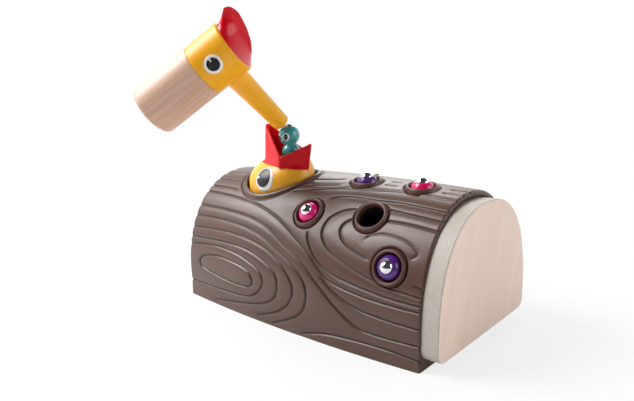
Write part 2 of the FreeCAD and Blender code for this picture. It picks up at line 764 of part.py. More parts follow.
def dowel_hole():
    return Part.makeCylinder(dowel_radius + glue_gap, 2 * (dowel_depth + glue_gap),
                             Vector(0, 0, head_bottom - dowel_depth - glue_gap))


def hammer_dowel():
    return placed(Part.makeCylinder(dowel_radius, 2 * dowel_depth, Vector(0, 0, head_bottom - dowel_depth)),
                  hammer_frame)


def hammer_beak_solid(extra=0.0):
    """The hammer's tapered beak along local X, its root a flat end inside the head."""
    root = hammer_radius - hammer_beak_socket
    tip = hammer_radius + hammer_beak_length
    beak = Part.makeCone(hammer_beak_root_radius + extra, hammer_beak_tip_radius + extra, tip - root,
                         Vector(root, 0, 0), Vector(1, 0, 0))
    end = [edge for edge in beak.Edges if edge.BoundBox.XMin > tip - 0.01]
    return beak.makeFillet(hammer_beak_tip_rounding, end)


def magnet_room(extra=0.0):
    tip = hammer_radius + hammer_beak_length
    return Part.makeCylinder(magnet_radius + extra, magnet_length + extra,
                             Vector(tip + magnet_proud - magnet_length - extra, 0, 0), Vector(1, 0, 0))


def hammer_head():
    head = Part.makeCylinder(hammer_radius, hammer_head_length - glue_gap, Vector(0, 0, head_bottom + glue_gap))
    upper = [edge for edge in head.Edges if edge.BoundBox.ZMin > head_top - 0.01]
    head = head.makeFillet(head_edge_radius, upper)
    return placed(head.cut(dowel_hole()).cut(hammer_beak_solid(glue_gap)), hammer_frame)


def hammer_beak():
    return placed(hammer_beak_solid().cut(magnet_room(glue_gap)), hammer_frame)


def hammer_magnet():
    return placed(magnet_room(), hammer_frame)


def hammer_crest():
    """A swept fin: its side outline, narrowed to a thin ridge above a round foot."""
    outline = [(-19.8, 0), (-18.7, 2.9), (-20.8, 5.7), (-23.1, 8.7), (-25.1, 12.0), (-24.3, 14.6), (-22.4, 16.3),
               (-16.4, 17.7), (-5.5, 15.2), (0.7, 12.9), (6.0, 10.5), (11.3, 6.7), (17.2, 0)]
    points = [Vector(x, 0, head_top + glue_gap + z) for x, z in outline]
    spline = Part.BSplineCurve()
    spline.interpolate(Points=points[1:])
    wire = Part.Wire([
        Part.makeLine(points[0], points[1]),
        spline.toShape(),
        Part.makeLine(points[-1], points[0]),
    ])
    fin = Part.Face(wire).extrude(Vector(0, 4 * hammer_radius, 0))
    fin.translate(Vector(0, -2 * hammer_radius, 0))
    foot = hammer_radius - head_edge_radius - 0.4
    sections = []
    for z, half_length, half_width in ((0, foot, foot), (5, foot + 5, crest_thickness),
                                       (12, foot + 9, crest_thickness * 0.5), (20, foot + 11, 1.6)):
        ellipse = Part.Ellipse(Vector(0, 0, head_top + glue_gap + z), half_length, half_width)
        sections.append(Part.Wire(ellipse.toShape()))
    body = Part.makeLoft(sections, True, False)
    return placed(one_solid(body.common(fin)), hammer_frame)


def hammer_eyes(radius, inner_relief, outer_relief):
    """Both eye discs as thin layers on the hammer's head."""
    length = 2 * radius + 4
    middle = head_bottom + hammer_eye_rise
    skin = Part.makeCylinder(hammer_radius + outer_relief, length, Vector(0, 0, middle - length / 2))
    skin = skin.cut(Part.makeCylinder(hammer_radius + inner_relief, length, Vector(0, 0, middle - length / 2)))
    discs = []
    for side in (-1, 1):
        turn = math.radians(side * hammer_eye_turn)
        column = Part.makeCylinder(radius, 2 * hammer_radius, Vector(0, 0, middle),
                                   Vector(math.cos(turn), math.sin(turn), 0))
        discs.append(placed(one_solid(skin.common(column)), hammer_frame))
    return discs


def end_panel(sign):
    panel = panel_solid(sign)
    for position, direction in batten_side_screws:
        if position.x * sign > 0:
            panel = panel.cut(screw_hole(position, direction, batten_screw_length))
    return panel


def base_board():
    slab = Part.makeBox(board_reach[-1] + board_reach[1], 4 * shell_end_half_width, board_thickness,
                        Vector(-board_reach[-1], -2 * shell_end_half_width, board_bottom))
    board = slab.common(log_solid(shell_wall + seat_gap, end_wall, 0))
    for position in tab_screws + batten_down_screws:
        board = board.cut(screw_hole(position, Z, board_thickness * 3))
    for position, direction in socket_screws:
        board = board.cut(screw_hole(position, direction, socket_screw_length))
    return one_solid(board)


def battens():
    solids = []
    for sign in (-1, 1):
        batten = Part.makeBox(batten_width, batten_length, batten_height,
                              Vector(sign * batten_x[sign] - batten_width / 2, -batten_length / 2, board_top))
        for position in batten_down_screws:
            if position.x * sign > 0:
                batten = batten.cut(screw_hole(position, Z, board_thickness + batten_height / 2))
        for position, direction in batten_side_screws:
            if position.x * sign > 0:
                batten = batten.cut(screw_hole(position, direction, batten_screw_length))
        solids.append(batten)
    return solids


def main():
    os.makedirs("parts", exist_ok=True)
    save("log_shell", log_shell())
    save("left_end_panel", end_panel(-1))
    save("right_end_panel", end_panel(1))
    save("base_board", base_board())
    save("panel_battens", battens())
    save("rubber_feet", [Part.makeCylinder(foot_radius, foot_height, position) for position in feet])
    save("shell_screws", [screw(p, Z, board_thickness + tab_height - 1) for p in tab_screws])
    save("batten_screws", [screw(p, Z, board_thickness + batten_height / 2) for p in batten_down_screws])
    save("panel_screws", [screw(p, d, batten_screw_length) for p, d in batten_side_screws])
    save("socket_screws", [screw(p, d, socket_screw_length) for p, d in socket_screws])

    body, ball = worm_pieces()
    for name, (x, around) in worm_holes.items():
        save("cup_" + name, worm_cup(x, around))
        if name == "front_empty":
            continue
        point, normal = log_surface(x, around)
        frame = local_frame(point + normal * worm_head_rise, normal)
        save("worm_" + name, placed(body, frame))
        save("steel_ball_" + name, placed(ball, frame))
        print(name, [round(v, 3) for v in point], [round(v, 4) for v in normal])
    point, normal = log_surface(*worm_holes["front_empty"])
    print("front_empty", [round(v, 3) for v in point], [round(v, 4) for v in normal])
    mouth_frame = local_frame(mouth_head, mouth_axis)
    save("worm_mouth_teal", placed(body, mouth_frame))
    save("steel_ball_mouth_teal", placed(ball, mouth_frame))

    save("chick_head", chick_head())
    save("chick_beak", chick_beak())
    save("chick_eye_whites", dome_eye(chick_eye_radius, 0, 0, glue_gap, paint_relief))
    save("chick_pupils", dome_eye(chick_pupil_radius, chick_pupil_shift_x, chick_pupil_shift_up,
                                  paint_relief + glue_gap, 2 * paint_relief))
    save("plunger", plunger())
    save("beak_screws", [screw(p, Z, beak_screw_length) for p in beak_screw_points])
    save("retaining_ring", retaining_ring())
    save("guide_socket", guide_socket())
    save("return_spring", return_spring())

    save("hammer_grip", hammer_grip())
    save("hammer_head", hammer_head())
    save("hammer_dowel", hammer_dowel())
    save("hammer_beak", hammer_beak())
    save("hammer_magnet", hammer_magnet())
    save("hammer_crest", hammer_crest())
    save("hammer_eye_whites", hammer_eyes(hammer_eye_radius, glue_gap, paint_relief))
    save("hammer_pupils", hammer_eyes(hammer_pupil_radius, paint_relief + glue_gap, 2 * paint_relief))
    print("mouth axis", mouth_axis, "peck", peck, "crest", crest_up, "beak tip", beak_tip)
    print("hammer axis point", hammer_axis_point, "mouth head", mouth_head)


main()
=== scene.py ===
import json
from math import acos, asin, atan2, copysign, cos, hypot, pi, radians, sin, sqrt, tan

import bpy
import numpy as np
from mathutils import Matrix, Vector, kdtree


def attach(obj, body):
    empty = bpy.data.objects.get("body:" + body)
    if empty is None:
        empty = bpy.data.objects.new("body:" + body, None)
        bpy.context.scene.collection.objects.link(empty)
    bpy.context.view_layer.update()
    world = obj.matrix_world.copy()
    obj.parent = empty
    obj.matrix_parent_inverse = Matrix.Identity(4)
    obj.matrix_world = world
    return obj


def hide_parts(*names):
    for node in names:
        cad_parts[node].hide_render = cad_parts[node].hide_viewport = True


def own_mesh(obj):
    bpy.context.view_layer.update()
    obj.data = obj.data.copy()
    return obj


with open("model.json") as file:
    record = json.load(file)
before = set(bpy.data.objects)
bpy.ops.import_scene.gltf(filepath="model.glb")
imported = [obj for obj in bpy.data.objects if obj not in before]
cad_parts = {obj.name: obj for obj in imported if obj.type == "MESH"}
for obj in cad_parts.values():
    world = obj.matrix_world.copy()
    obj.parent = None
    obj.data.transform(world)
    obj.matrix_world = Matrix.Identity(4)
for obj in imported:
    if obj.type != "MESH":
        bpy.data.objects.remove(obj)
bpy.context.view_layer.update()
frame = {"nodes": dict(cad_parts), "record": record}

MM = 0.001

# Log shell, in millimetres, as the frame has it
SHELL_LENGTH = 232.2
END_HALF_WIDTH = 66.4
BULGE_WIDTH = 5.9
END_HEIGHT = 105.4
BULGE_HEIGHT = 3.0
SIDE_HEIGHT = 25.1
SHELL_CURVE = 2.18
SHELL_WALL = 2.5
MEAN_BULGE = 0.67

# Bark relief: rounded grooves in softly sunken bands, rounded ends, and a ditch round each rim. The two
# values of CALM are how far outside a rim the grain starts and over how many millimetres it comes in.
SKIN_STEP = 0.42
GROOVE_HALF = 1.4
GROOVE_DEPTH = 1.05
GROOVE_FADE = 7.0
FADE_LIFT = 3.0
FINE_LIFT = 0.75
BAND_DROP = 0.5
BAND_REACH = 3.0
LINE_SPACING = 0.35
NEAR_HOLE = 30.0
RIM_CALM = (0.6, 1.2)
LIP_CALM = (1.0, 3.0)
DITCH_PLACE = 0.8
DITCH_DEPTH = 1.8
DITCH_WIDTH = 0.85
LIP_DITCH_WIDTH = 0.9
LEFT_ROUNDING = 0.5
RIGHT_ROUNDING = 1.6
END_DROP = 1.25
END_BAND = 3.5
END_SLOPE = 0.15
NEST_CUT = 1.8
HOLE_CUT = 1.3
CUT_NEAR_HOLE = 25.0
INNER_EDGE = 10.0

# End panels
PANEL_SIDE_STEP = 1.6
PANEL_TOP_STEP = 5.3
PANEL_BOTTOM = 7.1
PANEL_SIDE_HEIGHT = 20.7
PANEL_CURVE = 2.38
PANEL_CORNER = 8.0
PANEL_CLEARANCE = 0.3
PANEL_DEPTH = 3.0
PLY = 1.5

# Holes: millimetres from the log's right end, degrees round it from the front
HOLES = {
    "front_pink": (103.5, 46.6),
    "front_empty": (50.9, 50.6),
    "front_purple": (25.7, 25.6),
    "top_purple": (78.6, 81.0),
    "top_magenta": (33.4, 83.5),
    "back_green": (108.5, 120.2),
}
HOLE_RADIUS = 9.4
RIM_RADIUS = 11.7

# Worms
HEAD_RADIUS = 8.5
HEAD_FLAT = 6.7
BODY_RADIUS = 7.5
BEAD_SPACING = 13.5
FOOT_DROP = 20.5
HEAD_RISE = -2.6
BALL_RADIUS = 5.0
BALL_RISE = 4.6
MOUTH_WORM_FOOT = (-33.5, -18.8, 118.4)
MOUTH_WORM_LEAN = 7.5
MOUTH_FOOT_RADIUS = 5.2
WORM_EYE_ANGLE = 18
WORM_EYE_SPREAD = 0.46
WORM_EYE_DROP = 0.2
WORM_EYE_TILT = 0.35
WORM_PUPIL_ANGLE = 12.5
WORM_PUPIL_SHIFT = 0.05
PRINT_SUNK = 0.1

# Nest and nestling
NEST_X, NEST_Y = -46.3, -18.8
NEST_TURN = 4.0
NEST_LENGTH = 33.0
NEST_WIDTH = 24.5
LIP_WIDTH = 3.5
DOME_LENGTH = 31.0
DOME_WIDTH = 22.5
DOME_HEIGHT = 24.9
DOME_WAIST = 98.1
DOME_BOTTOM = 85.1
DOME_ALONG = 3.25
DOME_ACROSS = 1.51
DOME_UP = 2.75
TILT_ALONG = 0.176
TILT_ACROSS = 0.271

# Nestling's beak
BEAK_SIDE_X = -32.5
BEAK_HALF_WIDTH = 16.35
BEAK_UPPER = ((-70.0, 118.7), (-67.1, 153.4))
BEAK_LOWER = ((-15.25, 112.2), (-10.3, 135.4))
BEAK_VALLEY = 124.75
BEAK_TILT = 0.112
BEAK_CORNERS = (4.0, 3.5, 3.0, 3.5)
BEAK_LEAST_CORNER = 0.6
BEAK_FLOOR = 118.1
BEAK_BOTTOM = 108.1
BEAK_WALL = 2.2
SKIRT = ((-68.0, 117.0), (BEAK_SIDE_X, 114.6), (-13.0, 112.3))
SKIRT_PROUD = 0.35
SKIRT_TUCK = 0.9
BEAK_EDGE_RADIUS = 0.9

# The press guide under the nestling
SOCKET_TOP = 46.0
SPRING_TOP = DOME_BOTTOM + 3.0

# Hammer
HAMMER_RADIUS = 19.95
GRIP_LENGTH = 51.5
GRIP_EDGE = 2.8
HAMMER_HEAD = 29.4
BEAK_TO_GRIP = 14.0
HAMMER_BEAK = 56.3
HAMMER_BEAK_ROOT = 9.1
HAMMER_BEAK_TIP = 7.1
MAGNET_RADIUS = 4.5
MAGNET_PROUD = 0.8
MAGNET_UP = -1.5
MAGNET_SIDE = 4.0
SEAT_GAP = 0.3
HAMMER_EYE_RISE = 13.2
HAMMER_EYE_TURN = 110.0
PECK = Vector((0.066, 0.753, -0.654)).normalized()
CREST_UP = Vector((0.699, 0.433, 0.569))
CREST_UP = (CREST_UP - PECK * CREST_UP.dot(PECK)).normalized()

# Camera, solved from the photograph
CAMERA_PLACE = (281.84, -344.70, 172.74)
CAMERA_RIGHT = (0.75039, 0.66058, -0.02337)
CAMERA_UP = (-0.10840, 0.15786, 0.98149)
CAMERA_BACK = (0.65204, -0.73397, 0.19006)
CAMERA_LENS = 31.61

# Light: each lamp's place and size in metres, and its power
LAMPS = {
    "key": ((-0.70, -0.48, 1.0), 0.9, 24.5),
    "back": ((-0.70, 0.92, 0.82), 0.7, 4.5),
    "right_fill": ((1.2, 0.35, 0.55), 0.9, 6.5),
}
LAMP_TARGET = Vector((0, 0, 0.08))
WALL_LIGHT = 1.25
WALL_DIRECTION = (-0.62, 0.78, 0.0)
ROOM_LIGHT = 0.06
FLOOR_FADE = 0.79
FLOOR_REACH = 6.0


# Camera, lights and floor

def make_camera():
    data = bpy.data.cameras.new("camera")
    data.sensor_width = 36.0
    data.lens = CAMERA_LENS
    data.clip_start = 0.01
    data.clip_end = 20.0
    camera = bpy.data.objects.new("camera", data)
    bpy.context.scene.collection.objects.link(camera)
    rows = zip(CAMERA_RIGHT, CAMERA_UP, CAMERA_BACK, [c * MM for c in CAMERA_PLACE])
    camera.matrix_world = Matrix([list(row) for row in rows] + [[0, 0, 0, 1]])
    bpy.context.scene.camera = camera


def area_light(name, place, size, power):
    data = bpy.data.lights.new(name, "AREA")
    data.shape = "DISK"
    data.size = size
    data.energy = power
    lamp = bpy.data.objects.new(name, data)
    bpy.context.scene.collection.objects.link(lamp)
    lamp.location = place
    lamp.rotation_euler = (LAMP_TARGET - Vector(place)).to_track_quat("-Z", "Y").to_euler()


class Nodes:
    """A short way to write a material's node tree."""

    def __init__(self, tree):
        self.tree = tree
        self.tree.nodes.clear()

    def add(self, kind, inputs=None, **settings):
        node = self.tree.nodes.new("ShaderNode" + kind)
        for key, value in settings.items():
            setattr(node, key, value)
        for key, value in (inputs or {}).items():
            if isinstance(value, bpy.types.NodeSocket):
                self.tree.links.new(value, node.inputs[key])
            else:
                node.inputs[key].default_value = value
        return node

    def math(self, operation, a, b=0.0):
        return self.add("Math", {0: a, 1: b}, operation=operation).outputs[0]

    def mix(self, factor, a, b, blend="MIX"):
        node = self.add("Mix", {0: factor}, data_type="RGBA", blend_type=blend)
        for index, value in ((6, a), (7, b)):
            if isinstance(value, bpy.types.NodeSocket):
                self.tree.links.new(value, node.inputs[index])
            else:
                node.inputs[index].default_value = (*value, 1.0)
        return node.outputs[2]

    def ramp(self, factor, stops):
        node = self.add("ValToRGB", {0: factor})
        elements = node.color_ramp.elements
        while len(elements) < len(stops):
            elements.new(0.5)
        for element, (place, color) in zip(elements, stops):
            element.position = place
            element.color = (*color, 1.0)
        return node.outputs[0]

    def noise(self, vector, scale, detail=3.0, roughness=0.5, distortion=0.0):
        inputs = {"Vector": vector, "Scale": scale, "Detail": detail, "Roughness": roughness,
                  "Distortion": distortion}
        return self.add("TexNoise", inputs).outputs[0]

    def place(self):
        return self.add("TexCoord").outputs["Object"]

    def mapped(self, vector, **settings):
        return self.add("Mapping", {"Vector": vector, **settings}).outputs[0]

    def parts(self, vector):
        return self.add("SeparateXYZ", {0: vector}).outputs

    def dot(self, vector, axis):
        node = self.add("VectorMath", {0: vector, 1: axis}, operation="DOT_PRODUCT")
        return node.outputs["Value"]

    def between(self, value, low, high, **settings):
        inputs = {"Value": value, "From Min": low, "From Max": high}
        return self.add("MapRange", inputs, **settings).outputs[0]

    def bump(self, height, strength, distance):
        inputs = {"Height": height, "Strength": strength, "Distance": distance}
        return self.add("Bump", inputs).outputs[0]

    def finish(self, **sockets):
        shader = self.add("BsdfPrincipled", sockets)
        self.add("OutputMaterial", {"Surface": shader.outputs[0]})


def new_material(name):
    material = bpy.data.materials.new(name)
    material.use_nodes = True
    return material, Nodes(material.node_tree)


def principled(n, color, roughness, normal, **extra):
    n.finish(**{"Base Color": color, "Roughness": roughness, "Normal": normal}, **extra)


def make_world():
    """White to the camera; to the toy, a pale back wall that fades overhead and towards the camera."""
    world = bpy.data.worlds.new("studio")
    bpy.context.scene.world = world
    world.use_nodes = True
    n = Nodes(world.node_tree)
    way = n.add("TexCoord").outputs["Generated"]
    low = n.between(n.math("ABSOLUTE", n.parts(way)[2]), 0.82, 0.25, interpolation_type="SMOOTHSTEP")
    side = n.between(n.dot(way, WALL_DIRECTION), -0.65, 0.35, interpolation_type="SMOOTHSTEP")
    strength = n.math("ADD", n.math("MULTIPLY", n.math("MULTIPLY", low, side), WALL_LIGHT), ROOM_LIGHT)
    path = n.add("LightPath")
    seen = n.math("MAXIMUM", path.outputs["Is Camera Ray"], path.outputs["Is Transmission Ray"])
    lit = n.add("Background", {"Color": (1.0, 1.0, 1.0, 1.0), "Strength": strength})
    white = n.add("Background", {"Color": (1.0, 1.0, 1.0, 1.0), "Strength": 1.0})
    mixed = n.add("MixShader", {0: seen, 1: lit.outputs[0], 2: white.outputs[0]})
    n.add("OutputWorld", {"Surface": mixed.outputs[0]})


def make_floor():
    """Paper that turns white away from the toy, so that only the shadow near it shows."""
    mesh = bpy.data.meshes.new("floor")
    corners = [(x * FLOOR_REACH, y * FLOOR_REACH, 0) for x, y in ((-1, -1), (1, -1), (1, 1), (-1, 1))]
    mesh.from_pydata(corners, [], [(0, 1, 2, 3)])
    floor = bpy.data.objects.new("floor", mesh)
    bpy.context.scene.collection.objects.link(floor)
    material, n = new_material("floor_paper")
    where = n.place()
    distance = n.add("VectorMath", {0: where}, operation="LENGTH").outputs["Value"]
    far = n.between(distance, 0.20, 0.55, interpolation_type="SMOOTHSTEP")
    path = n.add("LightPath")
    fade = n.math("ADD", n.math("MULTIPLY", far, 1.0 - FLOOR_FADE), FLOOR_FADE)
    blank = n.math("MULTIPLY", fade, path.outputs["Is Camera Ray"])
    tone = n.ramp(n.noise(where, 60.0), [(0.3, (0.77, 0.77, 0.775)), (0.7, (0.80, 0.80, 0.805))])
    paper = n.add("BsdfPrincipled", {"Base Color": tone, "Roughness": 0.55})
    white = n.add("Emission", {"Color": (1, 1, 1, 1), "Strength": 1.0})
    mixed = n.add("MixShader", {0: blank, 1: paper.outputs[0], 2: white.outputs[0]})
    n.add("OutputMaterial", {"Surface": mixed.outputs[0]})
    mesh.materials.append(material)


# Mesh helpers; every mesh is built in millimetres and scaled once

def add_piece(name, points, faces, material, body, matrix=None, smooth=True, replaces=(), slot=None):
    mesh = bpy.data.meshes.new(name)
    if matrix is not None:
        points = [matrix @ Vector(p) for p in points]
    mesh.from_pydata([tuple(c * MM for c in p) for p in points], [], faces)
    mesh.validate()
    mesh.materials.append(MATERIALS[material])
    if smooth:
        mesh.shade_smooth()
    piece = bpy.data.objects.new(name, mesh)
    bpy.context.scene.collection.objects.link(piece)
    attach(piece, body)
    if replaces:
        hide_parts(*replaces)
    return piece


def grid_faces(rows, columns, wrap=False, flip=False, offset=0):
    faces = []
    last = columns if wrap else columns - 1
    for i in range(rows - 1):
        for j in range(last):
            k = (j + 1) % columns
            face = (offset + i * columns + j, offset + i * columns + k,
                    offset + (i + 1) * columns + k, offset + (i + 1) * columns + j)
            faces.append(face[::-1] if flip else face)
    return faces


def smooth_profile(points, steps):
    """A Catmull-Rom line through (a, b) points."""
    def blend(a, b, c, d, t):
        return 0.5 * (2 * b + (c - a) * t + (2 * a - 5 * b + 4 * c - d) * t * t
                      + (3 * b - a - 3 * c + d) * t ** 3)

    result = []
    for i in range(len(points) - 1):
        four = points[max(i - 1, 0)], points[i], points[i + 1], points[min(i + 2, len(points) - 1)]
        result += [tuple(blend(*values, k / steps) for values in zip(*four)) for k in range(steps)]
    return result + [tuple(points[-1])]


def distance_along(line):
    return np.concatenate([[0], np.cumsum(np.hypot(*np.diff(line, axis=0).T))])


def resampled(line, along, even):
    """The points at the distances in even on a line whose own points lie at the distances in along."""
    return np.stack([np.interp(even, along, line[:, 0]), np.interp(even, along, line[:, 1])], -1)


def lathe(profile, segments=64):
    """Points and faces of a skin turned about Z; the profile runs from bottom to top, outside first."""
    angles = [2 * pi * j / segments for j in range(segments)]
    points = [(radius * cos(a), radius * sin(a), height)
              for radius, height in profile for a in angles]
    return points, grid_faces(len(profile), segments, wrap=True)


def printed_patch(on_surface, radius, lift, rings, segments, notch, flip):
    """A thin round print. on_surface makes a point of (across, up, lift). notch is a wedge that is left out:
    two angles in degrees, and the share of the radius where it starts."""
    points = []
    for i in range(rings + 2):
        reach = radius * min(i / rings, 1.0)
        height = lift if i <= rings else -PRINT_SUNK
        for j in range(segments):
            t = 2 * pi * j / segments
            points.append(on_surface(reach * cos(t), reach * sin(t), height))
    start, end, share = notch
    faces = []
    for number, face in enumerate(grid_faces(rings + 2, segments, wrap=True, flip=flip)):
        ring, step = divmod(number, segments)
        if not (start < 360 * (step + 0.5) / segments < end and ring / rings >= share):
            faces.append(face)
    return points, faces


def local_matrix(origin, z_axis, x_hint=(1, 0, 0)):
    z_dir = Vector(z_axis).normalized()
    x_dir = Vector(x_hint)
    x_dir = (x_dir - z_dir * x_dir.dot(z_dir)).normalized()
    y_dir = z_dir.cross(x_dir)
    matrix = Matrix((x_dir, y_dir, z_dir)).transposed().to_4x4()
    matrix.translation = Vector(origin)
    return matrix


# The log's surface

def log_size(x):
    bulge = 1 - (2 * x / SHELL_LENGTH) ** 2
    return END_HALF_WIDTH + BULGE_WIDTH * bulge, END_HEIGHT + BULGE_HEIGHT * bulge


def signed_power(value, power):
    return np.sign(value) * np.abs(value) ** power


def log_point(x, around):
    """Points on the log; around is in degrees, and below 0 or above 180 it counts mm down the side."""
    x = np.asarray(x, float)
    around = np.asarray(around, float)
    half_width, height = log_size(x)
    angle = np.radians(np.clip(around, 0, 180))
    y = -half_width * signed_power(np.cos(angle), 2 / SHELL_CURVE)
    z = SIDE_HEIGHT + (height - SIDE_HEIGHT) * np.sin(angle) ** (2 / SHELL_CURVE)
    below = np.maximum(-around, around - 180)
    z = np.where(below > 0, SIDE_HEIGHT - below, z)
    return np.stack([np.broadcast_to(x, z.shape), y, z], -1)


def log_height(x, y):
    half_width, height = log_size(x)
    share = min(abs(y) / half_width, 1.0)
    return SIDE_HEIGHT + (height - SIDE_HEIGHT) * (1 - share ** SHELL_CURVE) ** (1 / SHELL_CURVE)


def log_normal_at(x, y):
    step = 0.2
    slope_x = (log_height(x + step, y) - log_height(x - step, y)) / (2 * step)
    slope_y = (log_height(x, y + step) - log_height(x, y - step)) / (2 * step)
    return Vector((-slope_x, -slope_y, 1)).normalized()


def hole_frame(name):
    from_end, around = HOLES[name]
    x = SHELL_LENGTH / 2 - from_end
    point = Vector(log_point(x, around))
    along = Vector(log_point(x + 0.1, around)) - Vector(log_point(x - 0.1, around))
    over = Vector(log_point(x, around + 0.1)) - Vector(log_point(x, around - 0.1))
    return local_matrix(point, along.cross(over))


def girth_table():
    """Degrees round the mean section, and the millimetres to each from the floor at the front."""
    degrees = np.linspace(0, 180, 3001)
    angle = np.radians(degrees)
    y = -(END_HALF_WIDTH + BULGE_WIDTH * MEAN_BULGE) * signed_power(np.cos(angle), 2 / SHELL_CURVE)
    z = (END_HEIGHT + BULGE_HEIGHT * MEAN_BULGE - SIDE_HEIGHT) * np.sin(angle) ** (2 / SHELL_CURVE)
    return degrees, SIDE_HEIGHT + distance_along(np.stack([y, z], -1))


TABLE_DEGREES, TABLE_GIRTHS = girth_table()
GIRTH = TABLE_GIRTHS[-1] + SIDE_HEIGHT


def girth_to_around(girth):
    around = np.interp(girth, TABLE_GIRTHS, TABLE_DEGREES)
    around = np.where(girth < SIDE_HEIGHT, girth - SIDE_HEIGHT, around)
    return np.where(girth > GIRTH - SIDE_HEIGHT, 180 + girth - (GIRTH - SIDE_HEIGHT), around)


# Grain lines as (x, girth) in mm before the shift, chosen from the photograph; past the ends they are cut off
GRAIN_SHIFT = 1.1
GRAIN_END = 119.0
GRAIN = [
    [(-102, 33), (-96, 38), (-77, 41), (-55, 40), (-39, 37), (-32, 31), (-33, 26), (-41, 23), (-62, 23),
     (-84, 25), (-99, 28), (-102, 33)],
    [(-121, 45), (-85, 49), (-56, 48), (-34, 43), (-22, 37), (-20, 29), (-28, 20), (-42, 15), (-74, 13),
     (-121, 12)],
    [(-121, 52), (-75, 54), (-43, 53), (-19, 47), (-6, 39), (-4, 30), (-8, 21), (-23, 13), (-53, 7),
     (-85, 2)],
    [(-121, 61), (-67, 63), (-29, 59), (-6, 51), (8, 40), (12, 31), (7, 20), (-7, 10), (-30, 2)],
    [(-121, 72), (-71, 72), (-32, 67), (-8, 58), (11, 49), (22, 40), (25, 30), (21, 18), (9, 9), (-13, 0)],
    [(-121, 82), (-76, 81), (-43, 78), (-20, 72), (-1, 63), (17, 54), (36, 40), (50, 29), (66, 19),
     (81, 16), (121, 16)],
    [(-121, 97), (-74, 94), (-40, 89), (-14, 81), (4, 72), (20, 63), (34, 52), (45, 45), (65, 41), (86, 39),
     (121, 38)],
    [(17, 0), (41, 6), (68, 8), (92, 8), (121, 6)],
    [(17, 79), (20, 70), (31, 58), (47, 50), (67, 46), (92, 43), (121, 42)],
    [(34, 49), (50, 38), (68, 31), (92, 28), (121, 27)],
    [(55, 99), (45, 98), (36, 93), (31, 86), (31, 76), (39, 67), (52, 61), (72, 54), (91, 50), (121, 47)],
    [(58, 92), (52, 91), (46, 86), (46, 79), (55, 71), (76, 64)],
    [(20, 102), (29, 108), (45, 110), (63, 110), (81, 111), (121, 109)],
    [(-20, 106), (10, 114), (23, 117), (50, 120), (74, 123), (121, 121)],
    [(-18, 114), (6, 119), (24, 123)],
    [(-14, 125), (6, 129), (20, 134)],
    [(-121, 104), (-91, 103), (-74, 101)],
    [(-121, 114), (-96, 113), (-82, 113)],
    [(-121, 124), (-98, 124), (-86, 125)],
    [(68, 103.5), (78, 103), (92, 102), (121, 100)],
    [(69, 94.2), (79, 94), (95, 94), (121, 92)],
    [(104, 56), (121, 52)],
    [(-121, 135), (-95, 136), (-84, 139)],
    [(50, 132), (62, 131), (68, 131)],
    [(96, 132), (121, 131)],
    [(50, 140), (66, 141)],
    [(97, 141), (121, 142)],
]
FINE_GRAIN = [
    [(67.4, 75.5), (67, 78.5), (71, 82), (82, 84), (96, 82), (105, 77), (106, 73), (100, 70)],
]
BACK_LINES = 13


def smooth_line(points):
    """Evenly spaced points on a smooth line, and how far along it each one is."""
    dense = np.array(smooth_profile(points, 40))
    along = distance_along(dense)
    even = np.linspace(0, along[-1], max(int(along[-1] / LINE_SPACING), 2))
    return resampled(dense, along, even), even


def grain_lines():
    """Every grain line with its lift; the back has the front's main ones, turned end for end."""
    def shifted(line):
        return [(min(max(x + GRAIN_SHIFT, -GRAIN_END), GRAIN_END), g + GRAIN_SHIFT) for x, g in line]

    front = [shifted(line) for line in GRAIN]
    lines = [(line, 0.0) for line in front]
    lines += [(shifted(line), FINE_LIFT) for line in FINE_GRAIN]
    return lines + [([(-x, GIRTH - g) for x, g in line], 0.0) for line in front[:BACK_LINES]]


def relief_tree():
    """Points along every grain line; a free end climbs away from the surface, which thins the groove."""
    samples = []
    for line, lift in grain_lines():
        points, along = smooth_line(line)
        free = [] if line[0] == line[-1] else [(line[0][0], along), (line[-1][0], along[-1] - along)]
        fade = np.zeros(len(along))
        for end_x, distance in free:
            if abs(end_x) < SHELL_LENGTH / 2 - 1:
                fade = np.maximum(fade, 1 - (distance / GROOVE_FADE) ** 0.6)
        samples += [(x, g, max(f * FADE_LIFT, lift)) for (x, g), f in zip(points, fade)]
    tree = kdtree.KDTree(len(samples))
    for i, sample in enumerate(samples):
        tree.insert(sample, i)
    tree.balance()
    return tree


def from_hole(points, name):
    """How far points lie from a hole's middle, and from its axis."""
    matrix = hole_frame(name)
    away = points - np.array(matrix.translation)
    from_axis = np.cross(away, np.array(matrix.col[2][:3]))
    return np.linalg.norm(away, axis=1), np.linalg.norm(from_axis, axis=1)


